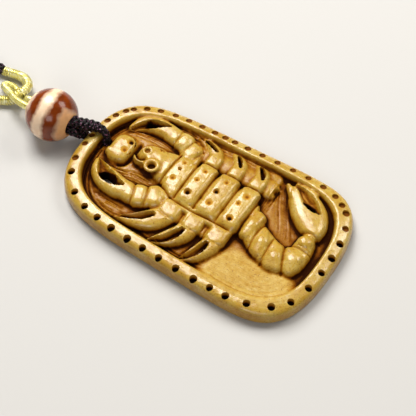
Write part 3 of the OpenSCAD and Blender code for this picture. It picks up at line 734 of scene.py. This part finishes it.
# %% Drill tables
DOT_D, DOT_DEPTH, DOT_INSET = 1.7, 1.3, 1.36
DOT_DROP = 0.35  # how much lower than its crest the rim is at a dot
NEAR_DOTS = [  # x, and how much nearer the middle than DOT_INSET
    (-24.1, 0), (-20.2, -0.1), (-16.4, -0.1), (-12.5, -0.2), (-8.2, -0.3), (-4.3, -0.3),
    (-0.2, -0.35), (4.1, -0.35), (8.5, -0.35), (12.4, -0.2), (16.1, -0.1), (20.6, 0.3),
    (25.2, 0.4)]
FAR_DOTS_X = [24.9, 22.6, 19.2, 15.4, 11.6, 7.8, 4.1, 0.5, -2.7, -5.1, -7.7,
              -10.9, -14.2, -17.4, -20.8, -23.6, -26]
TAIL_DOTS_Y = [-11.4, -6.6, -2, 2.2, 6.2, 10.1, 13.6]
HEAD_DOTS_Y = [-9.3, -5.8, -1.6, 1.1, 6.2, 8.4, 10.6]
PITS = [  # x, y, height there, the pit's half width and its depth
    (-8.5, 5.5, 4.5, 0.5, 0.3), (-8.5, 3.5, 4.7, 0.55, 0.6), (-8.6, 0.8, 4.6, 0.75, 0.4),
    (-3.4, 5.7, 5, 0.65, 0.3), (-3.8, 2.9, 5.1, 0.7, 0.4), (-3.8, -0.8, 5, 0.9, 0.8),
    (1.9, 5.7, 5.1, 0.7, 0.4), (1.3, 2.5, 5.2, 0.8, 0.7), (1.5, -0.7, 5.1, 0.85, 0.4),
    (7.4, 5, 5, 0.85, 0.35), (6.7, 2.6, 5.1, 0.75, 0.35), (7.1, -1.6, 5, 0.9, 0.7),
    (-21.1, 3.9, 4.4, 1, 0.7), (-21.3, 1.4, 4.5, 1, 0.6), (-14.4, 5.4, 4.6, 0.5, 0.3)]
RINGED_EYES = [(-13.9, 0.7, 1.05, 0.9), (-16.8, 3.6, 0.75, 0.5)]  # x, y, radius, depth
PIERCED = [  # x and y of both ends of a slot, and its radius
    (-21.5, -5.9, -19.6, -6.3, 1.15), (-20.6, 10.3, -19.4, 10.7, 0.85),
    (18.5, 10.8, 20.3, 10.5, 0.7)]
OPENING_SHADE_REACH = 0.45  # how far the painted shadow goes round an opening


def rim_dots():
    """Centres of the rim's dots, on the outline drawn in by their inset."""
    a, b = HALF_L - DOT_INSET, HALF_W - DOT_INSET
    places = []
    far_dots = [(x, 0.3) for x in FAR_DOTS_X]
    for row, side in ((NEAR_DOTS, -1), (far_dots, 1)):
        for x, further in row:
            c = (abs(x) / a) ** (corner_square(x, side) / 2)
            places.append((x, side * (b - further) * (1 - c * c) ** (1 / SIDE_SQUARE)
                           * (1 + FLARE * x / HALF_L)))
    for ys, end in ((TAIL_DOTS_Y, 1), (HEAD_DOTS_Y, -1)):
        for y in ys:
            s = (abs(y) / (b * (1 + FLARE * end))) ** (SIDE_SQUARE / 2)
            places.append((end * a * (1 - s * s) ** (1 / corner_square(end, y)), y))
    return places


DOTS = rim_dots()
print(len(DOTS), "dots in the rim")


# %% Cutters
def drill(bm, x, y, low, high, r_low, r_high=None, sides=20):
    """A plain or tapered drill, standing from low to high."""
    made = bmesh.ops.create_cone(bm, cap_ends=True, segments=sides, radius1=r_low,
                                 radius2=r_high or r_low, depth=high - low)["verts"]
    bmesh.ops.translate(bm, vec=(x, y, (low + high) / 2), verts=made)


def slot_cutter(bm, x0, y0, x1, y1, r, low, high):
    """A slot with round ends, wider at its top."""
    part = bmesh.new()
    for x, y in ((x0, y0), (x1, y1)):
        drill(part, x, y, low, high, r, r * 1.15, 16)
    close_hull(part)
    add_shell(bm, part)


def ball_hull(bm, balls):
    """A rounded cutter: the hull of a few balls of x, y, z and radius."""
    part = bmesh.new()
    for x, y, z, r in balls:
        made = bmesh.ops.create_icosphere(part, subdivisions=3, radius=r)["verts"]
        bmesh.ops.translate(part, vec=(x, y, z), verts=made)
    close_hull(part)
    add_shell(bm, part)


# %% Set out the holes
HOLE_AT, HOLE_D, NOTCH_W, NOTCH_Z = (-26.5, 2.35), 2.3, 2.4, 3.7
NOTCH_ENDS, GROOVE_END = ((-33, 1.2), (-27.6, 2.65)), (-33, 1.9)
dots = bmesh.new()
holes = []  # x, y, floor height, radius, and how dark the floor's painted shade is
for k, (x, y) in enumerate(DOTS):
    wander = noise.noise(Vector((k * 1.7, 0.5, 0)))
    shallow = y > 9 or (x < -27 and y > -8)
    low = RIM_Z - DOT_DROP - DOT_DEPTH * (0.4 if shallow else 1) * (1 + 0.25 * wander)
    r = DOT_D / 2 * (1 + 0.12 * wander)
    drill(dots, x, y, low, RIM_Z + 2, r - 0.12, r + 0.1)
    holes.append((x, y, low, r + 0.1, 0.66 if shallow else 1))
drill(dots, *HOLE_AT, -1, RIM_Z + 2, HOLE_D / 2, sides=24)
pits = bmesh.new()
for x, y, top, r, deep in PITS:
    drill(pits, x, y, top - deep, top + deep, 0.3 * r, 1.7 * r, 16)
    holes.append((x, y, top - deep, 1.4 * r, 1 if deep > 0.6 else 0.62))
for x, y, r, deep in RINGED_EYES:
    drill(pits, x, y, HEAD_Z - deep, HEAD_Z + 2, r * 0.8, r * 1.1)
    holes.append((x, y, HEAD_Z - deep, r * 1.1, deep - 0.1 if deep > 0.6 else 0.62))
for row in PIERCED:
    slot_cutter(pits, *row, -1, LIMB_Z + 2)
ball_hull(pits, [(x, y, NOTCH_Z + NOTCH_W / 2 + up, NOTCH_W / 2 + 0.2 * up)
                 for x, y in NOTCH_ENDS for up in (0, 1)])
groove = bmesh.new()
ball_hull(groove, [(x, y, z, (HANGER_D + 0.3) / 2) for x, y in (GROOVE_END, HOLE_AT)
                   for z in (-1, 0.9)])


# %% Cut them
def cut(piece, bm, name):
    """Takes the cutters in bm out of the piece in one Boolean."""
    tool = object_from(bm, name)
    knife = piece.modifiers.new(name, "BOOLEAN")
    knife.operation = "DIFFERENCE"
    knife.solver = "MANIFOLD"
    knife.object = tool
    faces_before = len(piece.data.polygons)
    apply_modifiers(piece)
    mesh = tool.data
    bpy.data.objects.remove(tool)
    bpy.data.meshes.remove(mesh)
    print(name, "left", len(piece.data.polygons), "faces of", faces_before)


cut(amulet, dots, "dots_and_hole")
cut(amulet, pits, "pits_and_openings")
cut(amulet, groove, "back_groove")

# %% [markdown]
# ## Age and painted shade in the hollows
# Worn bone is pale on its crests, and dirt and old oil turn the hollows amber and then
# nearly black. A height map of the carving, blurred and taken from itself, says how deep
# each point lies below its surroundings. It is stored on the mesh, where the material
# reads it, together with the distance from the edge that the scratches follow. The floors
# of the drilled holes and the ground round the pierced openings get painted shade in it.


# %% Measure the hollows
MAP_CELL, MAP_FROM = 0.2, 1.2  # the height map's cell, and the lowest point that it takes
FINE_BLUR, WIDE_BLUR = 2.5, 8.0  # in cells


def blurred(grid, weight, radius):
    """The grid blurred by a bell curve, counting each cell by its weight."""
    reach = int(3 * radius) + 1
    kernel = np.exp(-0.5 * (np.arange(-reach, reach + 1) / radius) ** 2)

    def soft(g):
        for axis in (1, 0):
            g = np.apply_along_axis(np.convolve, axis, g, kernel, "same")
        return g

    return soft(grid * weight) / np.maximum(soft(weight), 1e-6)


def sampled(grid, x, y, low):
    """The grid's value at any x and y, between its cells too."""
    gx = np.clip((x - low[0]) / MAP_CELL, 0, grid.shape[0] - 1.001)
    gy = np.clip((y - low[1]) / MAP_CELL, 0, grid.shape[1] - 1.001)
    i, j = gx.astype(int), gy.astype(int)
    u, v = gx - i, gy - j
    return (grid[i, j] * (1 - u) * (1 - v) + grid[i + 1, j] * u * (1 - v)
            + grid[i, j + 1] * (1 - u) * v + grid[i + 1, j + 1] * u * v)


def store(mesh, name, values, kind="FLOAT", domain="POINT"):
    """A new attribute of the mesh, for the material to read."""
    layer = mesh.attributes.new(name, kind, domain)
    layer.data.foreach_set("value" if kind == "FLOAT" else "vector",
                           np.ascontiguousarray(values, dtype=np.float32).ravel())


# %% Mark the age, the painted shade and the holes
def mark_age_and_shade(mesh):
    """Stores how deep in the carving each point lies, with painted shade in holes and openings, and
    where the bone is bare.
    """
    x, y, z = vectors_of(mesh.vertices, "co").T
    low = np.array([x.min() - 1, y.min() - 1])
    size = tuple(int(v) for v in (np.array([x.max(), y.max()]) + 1 - low) / MAP_CELL + 2)
    top = np.zeros(size)
    known = np.zeros(size)
    upper = z > MAP_FROM
    i = ((x[upper] - low[0]) / MAP_CELL + 0.5).astype(int)
    j = ((y[upper] - low[1]) / MAP_CELL + 0.5).astype(int)
    np.maximum.at(top, (i, j), z[upper])
    known[i, j] = 1.0
    filled = np.where(known > 0, top, blurred(top, known, 1.0))
    fine, wide = (sampled(blurred(filled, np.ones(size), radius), x, y, low) - z
                  for radius in (FINE_BLUR, WIDE_BLUR))
    inset = inset_of(x, y)
    turn = np.arctan2(y / HALF_W, x / HALF_L)
    bare = bareness(x, y) * (inset > 2)
    low_floor = np.clip((3.8 - z) / 1.4, 0, 1) * np.clip((inset - 1.8) / 0.7, 0, 1)
    # narrow hollows count most, wide ones less, and the sunk ground is always a little dark
    hollow = (np.clip(fine * 2.2, 0, 1) * 0.66 + np.clip(wide * 0.5, 0, 1) * 0.26
              + low_floor * 0.29 * (1 - bare))
    hollow = np.where(inset > 1.6, hollow, np.minimum(hollow, 0.12))
    hollow -= 0.12 * bare
    # Painted shade: the floor of each drilled hole and pit is set dark, the deeper ones darker.
    for hx, hy, low_z, r, floor_shade in holes:
        hollow[(np.hypot(x - hx, y - hy) < r) & (z > low_z - 0.1) & (z < low_z + 0.12)] = floor_shade
    # Painted shadow: the ground round each pierced opening is darkened.
    for x0, y0, x1, y1, r in PIERCED:
        away, _ = nearest(x, y, [(x0, y0), (x1, y1)], [1, 1])
        near = np.clip((r + OPENING_SHADE_REACH - away) / 0.3, 0, 1) * (z < LIMB_Z - 0.6)
        hollow = np.maximum(hollow, near)
    store(mesh, "hollow", hollow)
    store(mesh, "bare", bare)
    # Painted shade: the steep lower walls of the openings, the hanging hole and the groove are
    # marked to be painted near black.
    fx, fy, fz = vectors_of(mesh.polygons, "center").T
    steep = np.abs(vectors_of(mesh.polygons, "normal")[:, 2]) < 0.5
    store(mesh, "bore_painted_shade", steep & (fz < FIELD_Z) & (np.hypot(fx / HALF_L, fy / HALF_W) < 0.95),
          domain="FACE")
    store(mesh, "grain", np.stack([inset, HALF_L * np.cos(turn), HALF_L * np.sin(turn)], 1),
          "FLOAT_VECTOR")
    print("hollow from", round(hollow.min(), 2), "to", round(hollow.max(), 2))


def mark_holes(mesh):
    """Mark the walls and floors of the drilled holes, face by face."""
    centre = vectors_of(mesh.polygons, "center")
    normal = vectors_of(mesh.polygons, "normal")[:, :2]
    drilled = np.zeros(len(centre))
    for x, y, low_z, r, _ in holes:
        off = centre[:, :2] - (x, y)
        away = np.hypot(*off.T)
        inward = (off * normal).sum(1) < -0.4 * away
        drilled[(away < r + 0.05) & (centre[:, 2] > low_z - 0.1)
                & (inward | (centre[:, 2] < low_z + 0.1))] = 1
    store(mesh, "drilled", drilled, domain="FACE")
    print(int(drilled.sum()), "drilled faces in", len(holes), "holes")


mark_age_and_shade(amulet.data)
mark_holes(amulet.data)
amulet.data.transform(Matrix.Scale(MM, 4))
amulet.data.shade_smooth()
amulet.data.set_sharp_from_angle(angle=math.radians(50))

# %% [markdown]
# ## The bead
# A bead is turned on a lathe, so it is one half-profile spun about the bore: a round belly,
# a small flat at each end, and a straight bore with a softly broken edge.

# %% Bead
BEAD_AT, BEAD_D, BEAD_L, BORE_D = Vector((-39, -0.5, 5.8)), 11.6, 10.4, 4.2


def bead_profile():
    """Distance along the bore and from it, from one mouth over the belly to the other."""
    half, radius = BEAD_L / 2, BEAD_D / 2
    bore, soft = BORE_D / 2, 0.25
    rows = [(-half + soft, bore)]
    for k in range(1, 5):
        a = math.pi / 2 * k / 4
        rows.append((-half + soft * (1 - math.sin(a)), bore + soft * (1 - math.cos(a))))
    flat = math.acos(half / radius)
    for k in range(49):
        a = math.pi - flat - (math.pi - 2 * flat) * k / 48
        rows.append((radius * math.cos(a), radius * math.sin(a)))
    for k in range(5):
        a = math.pi / 2 * (4 - k) / 4
        rows.append((half - soft * (1 - math.sin(a)), bore + soft * (1 - math.cos(a))))
    return rows


bm = bmesh.new()
rows = [bm.verts.new((BEAD_AT.x + x, BEAD_AT.y + r, BEAD_AT.z)) for x, r in bead_profile()]
rim_edges = [bm.edges.new((a, b)) for a, b in zip(rows, rows[1:] + rows[:1])]
bmesh.ops.spin(bm, geom=rows + rim_edges, cent=BEAD_AT, axis=(1, 0, 0),
               angle=2 * math.pi, steps=96, use_merge=True, use_duplicate=False)
bmesh.ops.remove_doubles(bm, verts=bm.verts, dist=1e-4)
bmesh.ops.recalc_face_normals(bm, faces=bm.faces)
bmesh.ops.transform(bm, matrix=Matrix.Scale(MM, 4), verts=bm.verts)
bead = object_from(bm, "banded_bead")
bead.data.shade_smooth()
print("bead:", len(bead.data.polygons), "faces")

dress(amulet, "amulet")
dress(bead, "bead")

# %% [markdown]
# ## Finishes
# All colours come from nodes that read the object's own coordinates or the stored hollows.
# A short helper makes a node and joins its inputs, so each finish reads as a recipe.


# %% Helpers for finishes
class Finish:
    """A material that is written as a chain of nodes."""

    def __init__(self, name, **shader):
        self.material = bpy.data.materials.new(name)
        self.material.use_nodes = True
        self.tree = self.material.node_tree
        self.shader = self.tree.nodes["Principled BSDF"]
        for key, value in shader.items():
            self.shader.inputs[key.replace("_", " ")].default_value = value

    def node(self, kind, inputs=None, **settings):
        """A new node with its settings, and its inputs joined or set."""
        made = self.tree.nodes.new("ShaderNode" + kind)
        for key, value in settings.items():
            setattr(made, key, value)
        for key, value in (inputs or {}).items():
            self.put(made.inputs[key], value)
        return made

    def put(self, socket, value):
        """Joins a socket to another one, or sets it to a plain value."""
        if isinstance(value, bpy.types.NodeSocket):
            self.tree.links.new(value, socket)
        else:
            socket.default_value = value

    def math(self, operation, a, b, clamp=False):
        return self.node("Math", {0: a, 1: b}, operation=operation, use_clamp=clamp).outputs[0]

    def noise(self, vector, scale, detail, rough=0.55):
        return self.node("TexNoise", {"Vector": vector, "Scale": scale, "Detail": detail,
                                      "Roughness": rough}).outputs["Fac"]

    def attribute(self, name, output="Fac"):
        return self.node("Attribute", attribute_name=name).outputs[output]

    def place_in_mm(self):
        """The object's own coordinates, so a pattern's scale is in waves in a millimetre."""
        place = self.node("TexCoord").outputs["Object"]
        return self.node("Mapping", {"Vector": place, "Scale": (1 / MM,) * 3}).outputs[0]

    def ramp(self, value, stops):
        """A value turned into colours, through stops of a place and its colour."""
        made = self.node("ValToRGB", {"Fac": value})
        ramp = made.color_ramp
        while len(ramp.elements) < len(stops):
            ramp.elements.new(0.5)
        for element, (at, colour) in zip(ramp.elements, stops):
            element.position = at
            element.color = (*colour, 1)
        return made.outputs[0]

    def mix(self, factor, a, b, blend="MIX"):
        """Colour a at factor 0 and b at 1."""
        made = self.node("Mix", data_type="RGBA", blend_type=blend)
        self.put(made.inputs[0], factor)
        for socket, value in ((6, a), (7, b)):
            self.put(made.inputs[socket], (*value, 1) if isinstance(value, tuple) else value)
        return made.outputs[2]

    def bump(self, height, distance, strength, normal=None):
        """A bump on top of another one, where normal is given."""
        made = self.node("Bump", {"Height": height, "Distance": distance,
                                  "Strength": strength})
        if normal:
            self.put(made.inputs["Normal"], normal)
        return made.outputs[0]

    def done(self, piece, **sockets):
        """Joins the shader's sockets and dresses the piece."""
        for key, value in sockets.items():
            self.put(self.shader.inputs[key.replace("_", " ")], value)
        piece.data.materials.clear()
        piece.data.materials.append(self.material)
        print(piece.name, "wears", self.material.name, "of", len(self.tree.nodes), "nodes")


def srgb(*parts):
    """A colour given in 0 to 255, as a picture has it, for Blender's nodes."""
    return tuple((p / 255 / 12.92) if p <= 10 else ((p / 255 + 0.055) / 1.055) ** 2.4
                 for p in parts)


# %% Bone
bone = Finish("carved_bone", IOR=1.54, Subsurface_Weight=0.12, Subsurface_Scale=0.6 * MM,
              Subsurface_Radius=(1.0, 0.55, 0.25), Coat_Roughness=0.16)
place = bone.place_in_mm()
cloud = bone.noise(place, 0.16, 4)
fleck = bone.noise(place, 1.1, 3)
strands = bone.node("Mapping", {"Vector": bone.attribute("grain", "Vector"),
                                "Scale": (7.0, 0.42, 0.42)}).outputs[0]
lines = bone.noise(strands, 1.0, 4, 0.6)
hollow = bone.attribute("hollow")


def shifted(value, pattern, reach):
    """The value, moved up and down by a pattern."""
    return bone.math("ADD", value, bone.math("MULTIPLY", bone.math("SUBTRACT", pattern, 0.5),
                                             reach))


depth = shifted(shifted(shifted(hollow, fleck, 0.32), lines, 0.3), cloud, 0.4)
depth = bone.math("ADD", depth, 0.15, clamp=True)
aged = bone.ramp(depth, [
    (0.0, srgb(198, 174, 106)), (0.12, srgb(188, 154, 62)), (0.28, srgb(170, 126, 28)),
    (0.5, srgb(150, 98, 12)), (0.72, srgb(112, 60, 4)), (1.0, srgb(44, 16, 1))])
drilled = bone.attribute("drilled")
specks = bone.ramp(bone.noise(place, 3.1, 2), [(0.58, (1, 1, 1)), (0.72, srgb(170, 120, 60))])
aged = bone.mix(0.8, aged, specks, "MULTIPLY")
# Faces of the drilled holes: amber stain on the walls, painted shade on the floors.
hole_stain_and_shade = bone.ramp(hollow, [(0.1, srgb(190, 148, 58)), (0.45, srgb(176, 120, 30)),
                            (0.66, srgb(108, 60, 10)), (0.85, srgb(26, 9, 1))])
colour = bone.mix(drilled, aged, hole_stain_and_shade)
# painted shade: those lower walls are near black
colour = bone.mix(bone.attribute("bore_painted_shade"), colour, srgb(20, 6, 1))
bare = bone.attribute("bare")
clean = bone.math("SUBTRACT", 1.0, bone.math(
    "ADD", bone.math("MULTIPLY", depth, 1.6), drilled), clamp=True)
polished = bone.math("MULTIPLY", clean, bone.math("SUBTRACT", 1.0, bare))
gloss = bone.math("ADD", bone.math("MULTIPLY", fleck, 0.16), bone.math(
    "ADD", bone.math("MULTIPLY", depth, 0.6), bone.math("MULTIPLY", bare, 0.3)))
scratch = bone.bump(lines, 0.05 * MM, bone.math("ADD", 0.6, bare))
pores = bone.bump(bone.noise(place, 3.5, 3), 0.05 * MM, 0.5, scratch)
bone.done(amulet, Base_Color=colour, Roughness=bone.math("ADD", gloss, 0.1), Normal=pores,
          Specular_IOR_Level=bone.math("ADD", 0.03, bone.math("MULTIPLY", clean, 0.47)),
          Coat_Weight=bone.math("MULTIPLY", polished, 0.5))

# %% [markdown]
# The bead's bands are rings of burnt pigment round the bore. Each edge of a band is a soft
# step at a distance along the bore, pushed to and fro by noise, and one ring widens towards
# the far side, as on the real bead. Two steps make a ring, and the rings are laid in turn.

# %% Banded stone
stone = Finish("banded_stone", IOR=1.36, Coat_Weight=0.12, Coat_Roughness=0.1)
place = stone.place_in_mm()
parts = stone.node("SeparateXYZ", {"Vector": place}).outputs
wobble = stone.math("MULTIPLY", stone.math("SUBTRACT", stone.noise(place, 0.45, 3), 0.5), 2.0)
across = stone.math("ADD", stone.math("ADD", parts[0], -BEAD_AT.x), wobble)
far = stone.math("DIVIDE", stone.math("SUBTRACT", parts[1], BEAD_AT.y), 5.0, clamp=True)


def edge(at, widening=0.0):
    """0 before a band's edge and 1 after it; the edge moves by widening on the far side."""
    past = stone.math("SUBTRACT", across, stone.math("ADD", at, stone.math(
        "MULTIPLY", far, widening)))
    return stone.math("ADD", stone.math("MULTIPLY", past, 0.9), 0.5, clamp=True)


def ring(start, end):
    """1 between two edges."""
    return stone.math("MULTIPLY", start, stone.math("SUBTRACT", 1.0, end))


patchy = stone.noise(place, 0.5, 5, 0.6)
cream = stone.mix(patchy, srgb(254, 238, 212), srgb(230, 180, 134))
tan = stone.mix(patchy, srgb(244, 196, 144), srgb(196, 134, 82))
brown = stone.mix(patchy, srgb(156, 66, 8), srgb(50, 13, 1))
bands = stone.mix(edge(3.8, 3.4), cream, tan)
bands = stone.mix(ring(edge(1.2, -1.05), edge(3.8, 3.4)), bands, brown)
bands = stone.mix(ring(edge(-3.9), edge(-1.4)), bands, brown)
stone.done(bead, Base_Color=bands, Roughness=stone.math(
    "ADD", 0.12, stone.math("MULTIPLY", patchy, 0.12)),
    Normal=stone.bump(stone.noise(place, 1.5, 3), 0.03 * MM, 0.5))

# %% [markdown]
# The black cord is waxed thread with a few paler fibres, shown as small pink flecks of
# painted sheen. The gold thread is a bright metal foil, a little dull and brown where turns touch.


# %% Cord and thread
def black_cord():
    """Near black, with pink flecks of painted sheen and a fibrous surface."""
    cord = Finish("black_cord", Roughness=0.45, IOR=1.35)
    place = cord.place_in_mm()
    # pink flecks of painted sheen, scattered by noise
    sheen_flecks = cord.ramp(cord.noise(place, 3.2, 2), [
        (0.0, srgb(1, 1, 1)), (0.6, srgb(4, 2, 3)), (0.66, srgb(130, 70, 104)),
        (0.76, srgb(236, 180, 210))])
    fibre = cord.bump(cord.noise(place, 12, 2), 0.04 * MM, 0.7)
    return cord, dict(Base_Color=sheen_flecks, Normal=fibre)


def gold_thread():
    """Foil that goes from dull gold to nearly white."""
    gold = Finish("gold_thread", Metallic=0.7, IOR=1.5, Coat_Weight=1.0, Coat_Roughness=0.14)
    place = gold.place_in_mm()
    patch = gold.noise(place, 0.9, 3)
    colour = gold.ramp(patch, [
        (0.3, srgb(208, 190, 84)), (0.5, srgb(244, 234, 142)), (0.7, srgb(255, 254, 218))])
    foil = gold.bump(gold.noise(place, 9, 2), 0.01 * MM, 0.4)
    return gold, dict(Base_Color=colour, Normal=foil,
                      Roughness=gold.math("ADD", 0.22, gold.math("MULTIPLY", patch, 0.2)))


for pieces_of, recipe in (((hanger, neck), black_cord), ((loop, bend), gold_thread)):
    finish, sockets = recipe()
    for piece in pieces_of:
        finish.done(piece, **sockets)

# %% [markdown]
# ## Floor and light
# A plain pale floor carries soft shadows. The photograph's light is one broad source high
# over the far left, which puts the white shine on the near rim, with a weaker window beyond
# the far right corner and a faint fill from the camera's side, which lights the walls of the
# holes. The picture keeps its colours as they are, without a film look, because the bone's
# honey tone is what identifies it.

# %% Floor and lights
floor_bm = bmesh.new()
bmesh.ops.create_grid(floor_bm, x_segments=1, y_segments=1, size=1.5)
floor = object_from(floor_bm, "pale_floor")
paper = Finish("pale_floor", Roughness=0.9, Base_Color=(0.56, 0.55, 0.53, 1))
paper.done(floor)


def soft_light(name, azimuth, elevation, distance, size, watts, tint=(1, 1, 1)):
    """A broad lamp that looks at the pendant from an azimuth and elevation in degrees."""
    data = bpy.data.lights.new(name, "AREA")
    data.shape = "RECTANGLE"
    data.size, data.size_y = size
    data.energy = watts
    data.color = tint
    lamp = bpy.data.objects.new(name, data)
    a, e = math.radians(azimuth), math.radians(elevation)
    lamp.location = LOOK_AT + distance * Vector(
        (math.cos(a) * math.cos(e), math.sin(a) * math.cos(e), math.sin(e)))
    lamp.rotation_euler = (LOOK_AT - lamp.location).to_track_quat("-Z", "Y").to_euler()
    bpy.context.scene.collection.objects.link(lamp)


soft_light("overhead", 146, 55, 0.6, (0.3, 0.4), 4.9, (1, 0.98, 0.95))
soft_light("window", 62, 45, 0.6, (0.24, 0.24), 1.5, (1, 0.97, 0.92))
soft_light("fill", 290, 38, 0.7, (0.3, 0.3), 1.2)
world = bpy.data.worlds.new("soft_room")
world.use_nodes = True
world.node_tree.nodes["Background"].inputs["Color"].default_value = (1, 0.94, 0.86, 1)
world.node_tree.nodes["Background"].inputs["Strength"].default_value = 0.1
bpy.context.scene.world = world
bpy.context.scene.view_settings.view_transform = "Standard"
